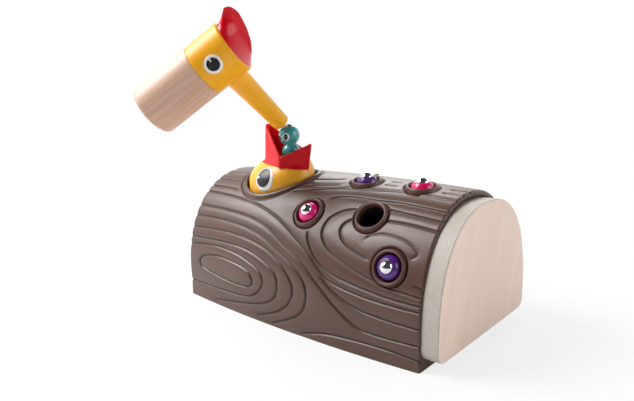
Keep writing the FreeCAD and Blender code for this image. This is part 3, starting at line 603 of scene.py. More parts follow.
def relief(x, girth, place):
    """Height of the moulded grain over the plain shell, in mm, for grid points."""
    tree = relief_tree()
    flat_x, flat_g = x.ravel(), girth.ravel()
    distance = np.array([tree.find((px, pg, 0.0))[2] for px, pg in zip(flat_x, flat_g)])
    wall = 0.5 + 0.5 * np.cos(pi * np.minimum(distance / GROOVE_HALF, 1))
    height = -GROOVE_DEPTH * wall - BAND_DROP * np.exp(-distance / BAND_REACH)
    points = place.reshape(-1, 3)
    for name in HOLES:
        away, radial = from_hole(points, name)
        outside = radial - RIM_RADIUS
        calm = np.clip((outside - RIM_CALM[0]) / RIM_CALM[1], 0, 1)
        ditch = DITCH_DEPTH * np.exp(-((outside - DITCH_PLACE) / DITCH_WIDTH) ** 2)
        height = np.where(away < NEAR_HOLE, height * calm - ditch, height)
    outside = nest_distance(*points.T) - LIP_WIDTH
    height = height * np.clip((outside - LIP_CALM[0]) / LIP_CALM[1], 0, 1)
    height = height - np.exp(-((outside - LIP_DITCH_WIDTH) / LIP_DITCH_WIDTH) ** 2)
    edge = SHELL_LENGTH / 2 - np.abs(flat_x)
    reach = np.where(flat_x < 0, LEFT_ROUNDING, RIGHT_ROUNDING)
    inward = np.clip(reach - edge, 0, reach)
    height = height - reach + np.sqrt(np.maximum(reach ** 2 - inward ** 2, 0))
    height = np.where(edge < END_BAND, np.maximum(height, -END_DROP - END_SLOPE * edge), height)
    return height.reshape(x.shape)


def nest_distance(x, y, z):
    """Roughly how far a point lies outside the nest's opening, seen from above, in mm."""
    turn = radians(NEST_TURN)
    u = (x - NEST_X) * cos(turn) + (y - NEST_Y) * sin(turn)
    v = -(x - NEST_X) * sin(turn) + (y - NEST_Y) * cos(turn)
    radius = np.hypot(u / NEST_LENGTH, v / NEST_WIDTH)
    scale = np.hypot(u, v) / np.maximum(radius, 1e-6)
    return np.where(z > SIDE_HEIGHT, (radius - 1) * scale, 200.0)


def bark_skin():
    rows = int(SHELL_LENGTH / SKIN_STEP) + 1
    columns = int(GIRTH / SKIN_STEP) + 1
    x = np.linspace(-SHELL_LENGTH / 2, SHELL_LENGTH / 2, rows)
    girth = np.linspace(0, GIRTH, columns)
    grid_x, grid_g = np.meshgrid(x, girth, indexing="ij")
    place = log_point(grid_x, girth_to_around(grid_g))
    normal = np.cross(np.gradient(place, axis=0), np.gradient(place, axis=1))
    normal /= np.linalg.norm(normal, axis=2, keepdims=True)
    height = relief(grid_x, grid_g, place)
    outer = place + normal * height[..., None]
    outer[..., 2] = np.maximum(outer[..., 2], 0.0)
    faces = np.array(grid_faces(rows, columns))
    middle = place.reshape(-1, 3)[faces].mean(axis=1)
    keep = nest_distance(*middle.T) > NEST_CUT
    for name in HOLES:
        away, radial = from_hole(middle, name)
        keep &= (radial > HOLE_RADIUS + HOLE_CUT) | (away > CUT_NEAR_HOLE)
    faces = [tuple(int(i) for i in face) for face in faces[keep]]
    points = [tuple(p) for p in outer.reshape(-1, 3)]
    depth = height.ravel().tolist()

    def turned_in(edge_indices, layers, flip):
        """Strips that start at an edge of the grid and go through the given layers of points."""
        before = list(edge_indices)
        for layer in layers:
            now = list(range(len(points), len(points) + len(layer)))
            points.extend(tuple(p) for p in layer)
            depth.extend([0.0] * len(layer))
            strip = [(before[k], before[k + 1], now[k + 1], now[k]) for k in range(len(now) - 1)]
            faces.extend(face[::-1] if flip else face for face in strip)
            before = now

    for side, row in ((-1, 0), (1, rows - 1)):
        at_end = np.array([(side * SHELL_LENGTH / 2, y, z) for y, z in panel_profile(place[row])])
        inside = at_end - np.array([side * PANEL_DEPTH, 0, 0])
        turned_in(range(row * columns, (row + 1) * columns), [at_end, inside], flip=side < 0)
    for column, flip in ((0, False), (columns - 1, True)):
        base = place[:, column]
        inward = base - np.sign(base[:, 1:2]) * np.array([[0, SHELL_WALL, 0]])
        raised = inward + np.array([[0, 0, INNER_EDGE]])
        turned_in(range(column, rows * columns, columns), [inward, raised], flip)
    skin = add_piece("bark_skin", points, faces, "bark_plastic", "log", replaces=["log_shell"],
                     slot="bark_plastic")
    layer = skin.data.attributes.new("relief", "FLOAT", "POINT")
    layer.data.foreach_set("value", np.array(depth, dtype=np.float32))


def panel_profile(outline):
    """The end panel's outline, with its clearance, point for point beside the shell's outline."""
    half_width = END_HALF_WIDTH - PANEL_SIDE_STEP + PANEL_CLEARANCE
    rise = END_HEIGHT - PANEL_TOP_STEP + PANEL_CLEARANCE - PANEL_SIDE_HEIGHT
    points = []
    for _, y, z in outline:
        if z <= SIDE_HEIGHT:
            points.append((copysign(half_width, y), z))
            continue
        angle = atan2((z - SIDE_HEIGHT) / (END_HEIGHT - SIDE_HEIGHT), abs(y) / END_HALF_WIDTH)
        radius = (cos(angle) ** PANEL_CURVE + sin(angle) ** PANEL_CURVE) ** (-1 / PANEL_CURVE)
        points.append((copysign(half_width * radius * cos(angle), y),
                       PANEL_SIDE_HEIGHT + rise * radius * sin(angle)))
    return points


def end_sills():
    """The strip of shell under each end panel."""
    half_width = END_HALF_WIDTH - PANEL_SIDE_STEP
    corner = PANEL_CORNER
    upper = [(half_width + PANEL_CLEARANCE, PANEL_BOTTOM + corner)]
    upper += [(half_width - corner + corner * sin(a),
               PANEL_BOTTOM + corner - PANEL_CLEARANCE - corner * cos(a))
              for a in np.linspace(pi / 2, 0, 7)]
    upper += [(-y, z) for y, z in reversed(upper)]
    count = len(upper)
    for side, name in ((-1, "left"), (1, "right")):
        points = []
        for x in (side * (SHELL_LENGTH / 2 - PANEL_DEPTH), side * (SHELL_LENGTH / 2 - 0.05)):
            points += [(x, y, z) for y, z in upper]
            points += [(x, y, 0.0) for y, z in upper]
        faces = []
        for base in (0, 2 * count):
            for k in range(count - 1):
                face = (base + k, base + k + 1, base + count + k + 1, base + count + k)
                faces.append(face if (base > 0) == (side > 0) else face[::-1])
        for k in range(count - 1):
            faces.append((k, k + 1, 2 * count + k + 1, 2 * count + k))
            faces.append((count + k, count + k + 1, 3 * count + k + 1, 3 * count + k))
        add_piece("bark_sill_" + name, points, faces, "bark_plastic", "log", smooth=False,
                  slot="bark_plastic")


def hole_rims():
    profile = smooth_profile([
        (12.5, -4.0), (12.3, -1.4), (12.05, -0.4), (11.75, 0.5), (11.3, 1.2), (10.75, 1.5), (10.25, 1.4),
        (9.8, 1.0), (9.5, 0.4), (9.4, -0.6), (9.4, -2.7)], 4)
    # The rims wear a lighter, redder copy of the bark plastic: painted bounce light.
    points, faces = lathe(profile, 96)
    for name in HOLES:
        add_piece("rim_" + name, points, faces, "rim_bounce_tinted_plastic", "log", matrix=hole_frame(name),
                  slot="bark_plastic")


def nest_lip():
    profile = smooth_profile([
        (-0.1, -9.0), (0.0, -2.0), (0.1, 0.2), (0.45, 0.85), (1.05, 1.22), (1.75, 1.3), (2.5, 1.1),
        (3.1, 0.6), (3.5, -0.2), (3.8, -2.5)], 4)
    segments = 160
    points = []
    for offset, height in profile:
        for j in range(segments):
            t = 2 * pi * j / segments
            u, v = (NEST_LENGTH + offset) * cos(t), (NEST_WIDTH + offset) * sin(t)
            base = nest_to_frame(u, v, 0)
            base.z = log_height(base.x, base.y)
            up = log_normal_at(base.x, base.y) if height > 0 else Vector((0, 0, 1))
            points.append(base + up * height)
    faces = grid_faces(len(profile), segments, wrap=True, flip=True)
    add_piece("nest_lip", points, faces, "bark_plastic", "log", slot="bark_plastic")


# Worms

def worm_profile():
    """The turned worm, from its foot to the pocket for the ball, about the head's centre."""
    foot = -FOOT_DROP
    foot_half = sqrt(BODY_RADIUS ** 2 - (FOOT_DROP - BEAD_SPACING) ** 2)
    profile = [(0.0, foot), (foot_half - 0.6, foot), (foot_half, foot + 0.3)]
    start = atan2(foot + BEAD_SPACING + 0.3, foot_half)
    for a in np.linspace(start, radians(50), 16)[1:]:
        profile.append((BODY_RADIUS * cos(a), -BEAD_SPACING + BODY_RADIUS * sin(a)))
    brow = asin((HEAD_FLAT - 0.4) / HEAD_RADIUS)
    for a in np.linspace(radians(-56), brow, 26):
        profile.append((HEAD_RADIUS * cos(a), HEAD_RADIUS * sin(a)))
    rim = HEAD_RADIUS * cos(brow)
    pocket = sqrt(BALL_RADIUS ** 2 - (HEAD_FLAT - BALL_RISE) ** 2)
    profile += [(rim - 0.3, HEAD_FLAT - 0.14), (rim - 0.65, HEAD_FLAT), (pocket + 0.25, HEAD_FLAT),
                (pocket + 0.05, HEAD_FLAT - 0.15), (pocket - 0.1, HEAD_FLAT - 0.8)]
    return profile


def ball_profile():
    middle = [(BALL_RADIUS * cos(a), BALL_RISE + BALL_RADIUS * sin(a))
              for a in np.radians(np.linspace(-90, 90, 24)[1:-1])]
    return [(0.0, BALL_RISE - BALL_RADIUS)] + middle + [(0.0, BALL_RISE + BALL_RADIUS)]


def disc_on_sphere(radius, direction, half_angle, lift, up, stretch):
    """A thin dot of paint on a sphere about the origin; stretch makes it longer along up."""
    rings, segments = 6, 40
    points = [(0.0, 0.0, radius + lift)]
    for i in range(1, rings + 2):
        share = min(i / rings, 1.0)
        reach = radius + lift if i <= rings else radius - PRINT_SUNK
        for j in range(segments):
            t = 2 * pi * j / segments
            a = radians(half_angle) * share * hypot(cos(t) * stretch, sin(t))
            t = atan2(sin(t), cos(t) * stretch)
            points.append((reach * sin(a) * cos(t), reach * sin(a) * sin(t),
                           reach * cos(a)))
    faces = [(0, 1 + j, 1 + (j + 1) % segments) for j in range(segments)]
    faces += grid_faces(rings + 1, segments, wrap=True, flip=True, offset=1)
    matrix = local_matrix((0, 0, 0), direction, up)
    return [matrix @ Vector(p) for p in points], faces


def worm(name, body, matrix, paint, face_direction):
    """One worm; face_direction says which way it looks, in the log's frame."""
    add_piece("worm_skin_" + name, *lathe(worm_profile()), paint, body, matrix=matrix,
              replaces=["worm_" + name])
    add_piece("ball_skin_" + name, *lathe(ball_profile()), "ball_steel", body, matrix=matrix,
              replaces=["steel_ball_" + name])
    look = matrix.to_3x3().inverted() @ Vector(face_direction)
    look.z = 0
    look.normalize()
    side = Vector((0, 0, 1)).cross(look)
    for tag, across in (("l", 1), ("r", -1)):
        direction = (look + side * WORM_EYE_SPREAD * across - Vector((0, 0, WORM_EYE_DROP))).normalized()
        tilt = Vector((0, 0, 1)) + side * WORM_EYE_TILT * across
        white = disc_on_sphere(HEAD_RADIUS, direction, WORM_EYE_ANGLE, 0.12, tilt, 1.3)
        add_piece("worm_eye_" + name + "_" + tag, *white, "eye_white", body, matrix=matrix)
        inward = (direction - side * WORM_PUPIL_SHIFT * across).normalized()
        pupil = disc_on_sphere(HEAD_RADIUS + 0.1, inward, WORM_PUPIL_ANGLE, 0.14, tilt, 1.45)
        add_piece("worm_pupil_" + name + "_" + tag, *pupil, "eye_black", body, matrix=matrix)


# Nestling

def dome_ring(rise, lift=0.0):
    """Half length and half width of the dome's section at a share of its rise."""
    share = max(1 - rise ** DOME_UP, 0.0)
    half_length = (DOME_LENGTH + lift) * share ** (1 / DOME_ALONG)
    return half_length, (DOME_WIDTH + lift) * share ** (1 / DOME_ACROSS)


def dome_side(u, z, side):
    """How far across the dome's surface lies at u along the nest and height z."""
    low, high = 0.0, 0.98
    for _ in range(30):
        rise = (low + high) / 2
        half_length, half_width = dome_ring(rise)
        v = side * half_width * sqrt(max(1 - (u / half_length) ** 2, 0.0))
        if DOME_WAIST + DOME_HEIGHT * rise + (TILT_ALONG * u + TILT_ACROSS * v) * rise < z:
            low = rise
        else:
            high = rise
    return v


def nest_to_frame(u, v, z):
    turn = radians(NEST_TURN)
    return Vector((NEST_X + u * cos(turn) - v * sin(turn),
                   NEST_Y + u * sin(turn) + v * cos(turn), z))


def nestling_head():
    segments = 144
    turns = np.linspace(0, 2 * pi, segments, endpoint=False)
    points = []
    rises = [1 - (1 - s) ** 1.6 for s in np.linspace(0, 0.96, 44)]
    levels = [(z, 0.0) for z in np.linspace(DOME_BOTTOM, DOME_WAIST, 5)[:-1]]
    levels += [(DOME_WAIST + DOME_HEIGHT * rise, rise) for rise in rises]
    for z, rise in levels:
        half_length, half_width = dome_ring(rise)
        for t in turns:
            u, v = half_length * cos(t), half_width * sin(t)
            points.append(nest_to_frame(u, v, z + (TILT_ALONG * u + TILT_ACROSS * v) * rise))
    faces = grid_faces(len(levels), segments, wrap=True)
    add_piece("nestling_dome", points, faces, "yellow_plastic", "nestling", replaces=["chick_head"],
              slot="yellow_plastic")


# Prints: name, node, material, place on the dome, radius, lift and notch; the hammer's have no place
NO_NOTCH = (0, 0, 0)
EYE_PLACE = (-0.8, 104.7)
PUPIL_PLACE = (-1.9, 105.9)
NESTLING_PRINTS = (
    ("nestling_white_", "chick_eye_whites", "eye_white", EYE_PLACE, 9.3, 0.15, NO_NOTCH),
    ("nestling_iris_", "chick_pupils", "eye_black", PUPIL_PLACE, 7.2, 0.28, (168, 186, 0.62)),
)
HAMMER_PRINTS = (
    ("hammer_white_", "hammer_eye_whites", "eye_white", 6.7, 0.12, NO_NOTCH),
    ("hammer_iris_", "hammer_pupils", "eye_ink", 4.75, 0.22, (170, 188, 0.35)),
)


def nestling_eyes():
    for tag, side in (("front", -1), ("back", 1)):
        for name, node, ink, place, radius, lift, notch in NESTLING_PRINTS:

            def on_dome(across, up, height):
                u, z = place[0] + across, place[1] + up
                return nest_to_frame(u, dome_side(u, z, side) + side * height, z)

            patch = printed_patch(on_dome, radius, lift, 14, 120, notch, flip=side < 0)
            add_piece(name + tag, *patch, ink, "nestling", replaces=[node] if side < 0 else ())


def kite(z, inset):
    """The beak's outline at a height, as points; inset moves it in, and its corners are rounded."""
    def slide(line):
        (x0, z0), (x1, z1) = line
        return x0 + (x1 - x0) * (z - z0) / (z1 - z0)
    corners = [Vector((slide(BEAK_UPPER), 0)), Vector((BEAK_SIDE_X, -BEAK_HALF_WIDTH)),
               Vector((slide(BEAK_LOWER), 0)), Vector((BEAK_SIDE_X, BEAK_HALF_WIDTH))]
    moved = []
    for i, c in enumerate(corners):
        a = (c - corners[i - 1]).normalized()
        b = (corners[(i + 1) % 4] - c).normalized()
        normal_a = Vector((-a.y, a.x))
        normal_b = Vector((-b.y, b.x))
        bisector = (normal_a + normal_b).normalized()
        moved.append(c + bisector * (inset / bisector.dot(normal_a)))
    arcs = []
    for i, c in enumerate(moved):
        radius = max(BEAK_CORNERS[i] - inset, BEAK_LEAST_CORNER)
        before = (moved[i - 1] - c).normalized()
        after = (moved[(i + 1) % 4] - c).normalized()
        half = acos(max(-1.0, min(1.0, before.dot(after)))) / 2
        centre = c + (before + after).normalized() * (radius / sin(half))
        first = c + before * (radius / tan(half)) - centre
        sweep = pi - 2 * half
        arcs.append([centre + Vector((first.x * cos(t) - first.y * sin(t),
                                      first.x * sin(t) + first.y * cos(t)))
                     for t in np.linspace(0, sweep, 11)])
    outline = []
    per_side = 14
    for i, arc in enumerate(arcs):
        outline += arc
        goal = arcs[(i + 1) % 4][0]
        outline += [arc[-1].lerp(goal, k / per_side) for k in range(1, per_side)]
    return outline


def over_dome(x, y, z, skirt):
    """Brings the front of the beak's wall out over the dome, down to the skirt's edge, and in below it."""
    if y > -1:
        return x, y
    if z < skirt:
        return BEAK_SIDE_X + (x - BEAK_SIDE_X) * SKIRT_TUCK, y * SKIRT_TUCK
    turn = radians(NEST_TURN)
    for push in np.linspace(0, 5, 51):
        py = y - push
        u = (x - NEST_X) * cos(turn) + py * sin(turn)
        v = py * cos(turn) - (x - NEST_X) * sin(turn)
        rise = (z - DOME_WAIST) / (DOME_HEIGHT + TILT_ALONG * u + TILT_ACROSS * v)
        half_length, half_width = dome_ring(rise, SKIRT_PROUD)
        if rise >= 1 or (u / half_length) ** 2 + (v / half_width) ** 2 >= 1:
            break
    return x, py


def beak_edge(x, y):
    """Height of the beak's V shaped edge over a point; it rises a little to the back."""
    if x < BEAK_SIDE_X:
        slope = (BEAK_UPPER[1][1] - BEAK_VALLEY) / (BEAK_SIDE_X - BEAK_UPPER[1][0])
    else:
        slope = (BEAK_LOWER[1][1] - BEAK_VALLEY) / (BEAK_LOWER[1][0] - BEAK_SIDE_X)
    rise = abs(x - BEAK_SIDE_X) * slope
    soft = 1.0
    return BEAK_VALLEY + sqrt(rise * rise + soft * soft) - soft + BEAK_TILT * y


def nestling_beak():
    """Outside wall, rounded edge, inside wall and floor as one skin."""
    heights = np.linspace(BEAK_BOTTOM, BEAK_UPPER[1][1], 48)
    outer = [kite(z, 0.0) for z in heights]
    inner = [kite(z, BEAK_WALL) for z in heights]
    columns = range(len(outer[0]))

    def at_height(stack, j, z):
        i = min(max(int((z - heights[0]) / (heights[1] - heights[0])), 0), len(heights) - 2)
        return stack[i][j].lerp(stack[i + 1][j], (z - heights[i]) / (heights[i + 1] - heights[i]))

    def wall_top(j):
        z = BEAK_VALLEY
        for _ in range(12):
            z = beak_edge(*at_height(outer, j, z))
        return z - BEAK_EDGE_RADIUS

    def outside_wall(j):
        skirt = np.interp(at_height(outer, j, SKIRT[1][1]).x, *zip(*SKIRT))
        below = np.linspace(BEAK_BOTTOM, skirt - 0.05, 5)
        above = np.linspace(skirt, tops[j], 21)
        line = []
        for z in np.concatenate([below, above]):
            x, y = over_dome(*at_height(outer, j, z), z, skirt)
            line.append((x, y + NEST_Y, z))
        return line

    tops = [wall_top(j) for j in columns]
    rows = list(zip(*[outside_wall(j) for j in columns]))
    for a in np.linspace(0, pi, 9)[1:-1]:
        row = []
        for j, z in enumerate(tops):
            p, q = at_height(outer, j, z), at_height(inner, j, z)
            at = p.lerp(q, 0.5) + (p - q) * 0.5 * cos(a)
            row.append((at.x, at.y + NEST_Y, z + BEAK_EDGE_RADIUS * sin(a)))
        rows.append(row)
    for share in np.linspace(1, 0, 16):
        row = []
        for j in columns:
            z = BEAK_FLOOR + (tops[j] - BEAK_FLOOR) * share
            q = at_height(inner, j, z)
            row.append((q.x, q.y + NEST_Y, z))
        rows.append(row)
    for shrink in (0.6, 0.25, 0.02):
        rows.append([(BEAK_SIDE_X + (x - BEAK_SIDE_X) * shrink, NEST_Y + (y - NEST_Y) * shrink, BEAK_FLOOR)
                     for x, y, _ in rows[-1]])
    points = [p for row in rows for p in row]
    faces = grid_faces(len(rows), len(columns), wrap=True)
    add_piece("nestling_beak", points, faces, "red_plastic", "nestling", replaces=["chick_beak"],
              slot="red_plastic")


# Return spring, seen only from below

def return_spring():
    wire, radius, turns = 0.8, 9.0, 8
    low, high = SOCKET_TOP + wire + SEAT_GAP, SPRING_TOP - wire - SEAT_GAP
    steps, segments = turns * 24, 10
    points = []
    for i in range(steps + 1):
        angle = 2 * pi * turns * i / steps
        outward = Vector((cos(angle), sin(angle), 0))
        centre = outward * radius + Vector((BEAK_SIDE_X, NEST_Y, low + (high - low) * i / steps))
        for k in range(segments):
            t = 2 * pi * k / segments
            points.append(centre + outward * (wire * cos(t)) + Vector((0, 0, wire * sin(t))))
    faces = grid_faces(steps + 1, segments, wrap=True, flip=True)
    faces.append(tuple(range(segments)))
    faces.append(tuple(range(steps * segments, (steps + 1) * segments))[::-1])
    coil = add_piece("spring_coil", points, faces, "spring_steel", "log", replaces=["return_spring"])
    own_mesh(coil)


# Hammer

def mouth_frame():
    lean = radians(MOUTH_WORM_LEAN)
    axis = Vector((-sin(lean), 0, cos(lean)))
    foot = Vector(MOUTH_WORM_FOOT) + Vector((0, 0, MOUTH_FOOT_RADIUS * sin(lean)))
    return local_matrix(foot + axis * FOOT_DROP, axis), foot + axis * (FOOT_DROP + BALL_RISE)


def hammer_frame():
    _, ball = mouth_frame()
    tip = ball - PECK * (BALL_RADIUS + SEAT_GAP + MAGNET_PROUD)
    tip += CREST_UP * MAGNET_UP + CREST_UP.cross(PECK) * MAGNET_SIDE
    return local_matrix(tip - PECK * (HAMMER_BEAK + HAMMER_RADIUS), CREST_UP, PECK)


def hammer():
    matrix = hammer_frame()
    junction = -BEAK_TO_GRIP
    bottom = junction - GRIP_LENGTH
    top = junction + HAMMER_HEAD
    r = HAMMER_RADIUS
    e = GRIP_EDGE

    def turned(name, node, profile, segments, material, at, slot=None):
        add_piece(name, *lathe(profile, segments), material, "hammer", matrix=at,
                  replaces=[node], slot=slot)

    grip = [(0.0, bottom), (r - e - 2, bottom)]
    grip += [(r - e + e * cos(a), bottom + e + e * sin(a))
             for a in np.radians(np.linspace(-88, 0, 12))]
    grip += [(r, z) for z in np.linspace(bottom + 6, junction - 0.5, 14)]
    grip += [(r - 0.15, junction - 0.12), (r - 0.5, junction), (0.0, junction)]
    turned("grip_skin", "hammer_grip", grip, 128, "grip_wood", matrix, "grip_wood")
    head = [(0.0, junction + 0.03), (r - 0.5, junction + 0.03), (r - 0.15, junction + 0.15)]
    head += [(r, z) for z in [junction + 0.5, *np.linspace(junction + 2, top - 2.4, 14)]]
    head += [(r - 2 + 2 * cos(a), top - 2 + 2 * sin(a)) for a in np.radians(np.linspace(0, 85, 9))]
    head += [(r - 2.6, top), (0.0, top)]
    turned("head_skin", "hammer_head", head, 128, "yellow_wood", matrix, "yellow_wood")
    forward = matrix @ local_matrix((0, 0, 0), (1, 0, 0), (0, 0, 1))
    root, tip = r - 5.0, r + HAMMER_BEAK
    edge = HAMMER_BEAK_TIP - 2
    hole = MAGNET_RADIUS + 0.1
    beak = [(HAMMER_BEAK_ROOT + (HAMMER_BEAK_TIP - HAMMER_BEAK_ROOT) * s, root + (tip - root) * s)
            for s in np.linspace(0, 0.955, 14)]
    beak += [(edge + 2 * cos(a), tip - 2 + 2 * sin(a)) for a in np.radians(np.linspace(8, 88, 8))]
    beak += [(hole, tip), (hole, tip - 1.5)]
    turned("beak_skin", "hammer_beak", beak, 64, "yellow_wood", forward, "yellow_wood")
    magnet = [(0.0, tip - 4), (MAGNET_RADIUS, tip - 4), (MAGNET_RADIUS, tip + MAGNET_PROUD - 0.2),
              (MAGNET_RADIUS - 0.2, tip + MAGNET_PROUD), (0.0, tip + MAGNET_PROUD)]
    turned("magnet_skin", "hammer_magnet", magnet, 48, "ball_steel", forward)
    hammer_crest(matrix, top)
    hammer_eyes(matrix, junction + HAMMER_EYE_RISE)


def hammer_eyes(matrix, height):
    for tag, side in (("l", -1), ("r", 1)):
        turn = radians(side * HAMMER_EYE_TURN)

        def on_head(across, up, lift):
            a = turn + across / HAMMER_RADIUS
            reach = HAMMER_RADIUS + lift
            return reach * cos(a), reach * sin(a), height + up

        for name, node, ink, radius, lift, notch in HAMMER_PRINTS:
            patch = printed_patch(on_head, radius, lift, 10, 72, notch, flip=True)
            add_piece(name + tag, *patch, ink, "hammer", matrix=matrix,
                      replaces=[node] if side < 0 else ())


CREST_BACK = [(-19.5, 0), (-18.7, 2.9), (-20.8, 5.7), (-23.1, 8.7), (-25.1, 12.0), (-24.3, 14.6)]
CREST_RIDGE = [(-24.3, 14.6), (-22.4, 16.3), (-16.4, 17.6), (-5.5, 15.2), (0.7, 12.9), (6.0, 10.5),
               (11.3, 6.7), (15.3, 2.9), (18.0, 0.0)]
CREST_FOOT = 18.6


def hammer_crest(matrix, top):
    """A swept fin: at each height across its outline the section thins from a round foot to a soft ridge."""
    outline = np.array(smooth_profile(CREST_BACK, 10) + smooth_profile(CREST_RIDGE, 10)[1:])
    along = distance_along(outline)
    edge = resampled(outline, along, np.linspace(0, along[-1], 90))
    count = len(edge)
    rings = 26
    half = []
    for i in range(rings + 1):
        s = i / rings
        rise = s ** 1.15
        for k, (u, w) in enumerate(edge):
            foot_u = -CREST_FOOT * cos(pi * k / (count - 1))
            foot_v = CREST_FOOT * sin(pi * k / (count - 1))
            half.append((foot_u + (u - foot_u) * rise, foot_v * (1 - s) ** 2.1 + 0.54 * sin(pi * s),
                         w * rise + top + 0.05))
    points = half + [(x, -y, z) for x, y, z in half]
    faces = grid_faces(rings + 1, count) + grid_faces(rings + 1, count, flip=True, offset=len(half))
    add_piece("crest_skin", points, faces, "red_crest", "hammer", matrix=matrix,
              replaces=["hammer_crest"], slot="red_crest")


# Materials

def bark_material():
    material, n = new_material("bark_plastic")
    depth = n.add("Attribute", attribute_name="relief").outputs["Fac"]
    where = n.place()
    mottling = n.noise(where, 28.0, 4.0)
    tone = n.ramp(mottling, [(0.3, (0.090, 0.043, 0.029)), (0.7, (0.108, 0.054, 0.037))])
    # Painted shade: the colour is darkened by up to 45% where the relief sinks, in the grooves, the ditches
    # round the rims and the nest lip, and at the rounded ends.
    inputs = {"Value": depth, "From Min": -1.3, "From Max": -0.35, "To Min": 0.55, "To Max": 1.0}
    painted_groove_shade = n.add("MapRange", inputs).outputs[0]
    grey = n.add("CombineColor", {0: painted_groove_shade, 1: painted_groove_shade, 2: painted_groove_shade}).outputs[0]
    shade = n.mix(1.0, tone, grey, "MULTIPLY")
    fine = n.noise(where, 1400.0, 2.0)
    normal = n.bump(fine, 0.12, 0.0002)
    rough = n.ramp(n.noise(where, 90.0, 3.0), [(0.3, (0.33, 0.33, 0.33)), (0.7, (0.39, 0.39, 0.39))])
    principled(n, shade, rough, normal)
    return material


def wood_material(name, light, dark, fleck, axis, scale=1.0, rough=0.45, matrix=None):
    """Straight grained wood; axis is the one that the grain follows."""
    material, n = new_material(name)
    where = n.place()
    if matrix is not None:
        where = rotate_into(n, where, matrix)

    def stretched(along, across):
        return n.mapped(where, Scale=[(along if i == axis else across) * scale for i in range(3)])

    broad = n.noise(stretched(4.0, 70.0), 1.0, 4.0, 0.55, 0.6)
    thin = n.noise(stretched(18.0, 700.0), 1.0, 3.0, 0.6)
    base = n.ramp(broad, [(0.32, light), (0.68, dark)])
    lines = n.ramp(thin, [(0.42, fleck), (0.56, (1.0, 1.0, 1.0))])
    color = n.mix(0.55, base, lines, "MULTIPLY")
    height = n.math("ADD", n.math("MULTIPLY", thin, 0.7), n.math("MULTIPLY", broad, 0.3))
    normal = n.bump(height, 0.15, 0.0003)
    principled(n, color, rough, normal)
    return material


def rotate_into(n, vector, matrix):
    """Object coordinates seen in a turned frame, by dot products with its axes."""
    parts = [n.dot(vector, tuple(axis)) for axis in matrix.to_3x3().transposed()]
    return n.add("CombineXYZ", dict(enumerate(parts))).outputs[0]


def plywood_material():
    """Grain that leans on the panel's faces, and plies on its edge."""
    material, n = new_material("plywood")
    where = n.place()
    facing = n.parts(n.add("NewGeometry").outputs["Normal"])[0]
    on_face = n.math("GREATER_THAN", n.math("ABSOLUTE", facing), 0.75)
    leaning = n.mapped(where, Rotation=(radians(20), 0, 0))
    broad = n.noise(n.mapped(leaning, Scale=(20.0, 60.0, 9.0)), 1.0, 4.0, 0.55, 0.8)
    fine = n.noise(n.mapped(leaning, Scale=(60.0, 700.0, 40.0)), 1.0, 3.0, 0.6)
    face_base = n.ramp(broad, [(0.30, (0.84, 0.675, 0.575)), (0.72, (0.78, 0.60, 0.50))])
    face_lines = n.ramp(fine, [(0.36, (0.90, 0.85, 0.80)), (0.58, (1.0, 1.0, 1.0))])
    face_color = n.mix(0.3, face_base, face_lines, "MULTIPLY")
    layer = n.math("FRACT", n.math("MULTIPLY", n.math("ABSOLUTE", n.parts(where)[0]), 1 / (PLY * MM)))
    band = n.ramp(layer, [
        (0.0, (0.52, 0.475, 0.425)), (0.40, (0.56, 0.515, 0.465)), (0.50, (0.34, 0.295, 0.25)),
        (0.60, (0.49, 0.44, 0.39)), (0.90, (0.51, 0.465, 0.415)), (1.0, (0.34, 0.295, 0.25))])
    pores = n.noise(n.mapped(where, Scale=(900, 300, 300)), 1.0, 3.0)
    edge_color = n.mix(0.35, band, n.ramp(pores, [(0.4, (0.80, 0.76, 0.70)), (0.6, (1, 1, 1))]), "MULTIPLY")
    color = n.mix(on_face, edge_color, face_color)
    normal = n.bump(n.math("ADD", fine, n.math("MULTIPLY", pores, 0.5)), 0.12, 0.0003)
    principled(n, color, 0.55, normal)
    return material


def paint_material(name, low, high, rough, coat=0.0, grain=0.1, shine=0.5):
    """Painted or moulded colour with a slight mottling and a fine uneven surface."""
    material, n = new_material(name)
    where = n.place()
    tone = n.ramp(n.noise(where, 45.0, 4.0), [(0.3, low), (0.7, high)])
    wear = n.ramp(n.noise(where, 160.0, 3.0), [(0.35, (rough - 0.03,) * 3), (0.65, (rough + 0.04,) * 3)])
    normal = n.bump(n.noise(where, 1100.0, 2.0), grain, 0.0002)
    extra = {"Specular IOR Level": shine, "Coat Weight": coat, "Coat Roughness": 0.12}
    principled(n, tone, wear, normal, **extra)
    return material


def metal_material(name, tone, rough):
    material, n = new_material(name)
    where = n.place()
    color = n.ramp(n.noise(where, 200.0), [(0.3, tuple(c * 0.93 for c in tone)), (0.7, tone)])
    wear = n.ramp(n.noise(where, 400.0, 2.0), [(0.3, (rough,) * 3), (0.7, (rough + 0.05,) * 3)])
    principled(n, color, wear, n.bump(n.noise(where, 900.0), 0.04, 0.0001), Metallic=1.0)
    return material


def dark_eye_material(name, shine):
    material, n = new_material(name)
    where = n.place()
    dots = n.add("TexVoronoi", {"Vector": where, "Scale": 1500.0}).outputs["Distance"]
    tone = n.ramp(dots, [(0.25, (0.05, 0.052, 0.065)), (0.6, (0.012, 0.012, 0.017))])
    principled(n, tone, 0.35, n.bump(dots, 0.05, 0.0001), **{"Specular IOR Level": shine})
    return material


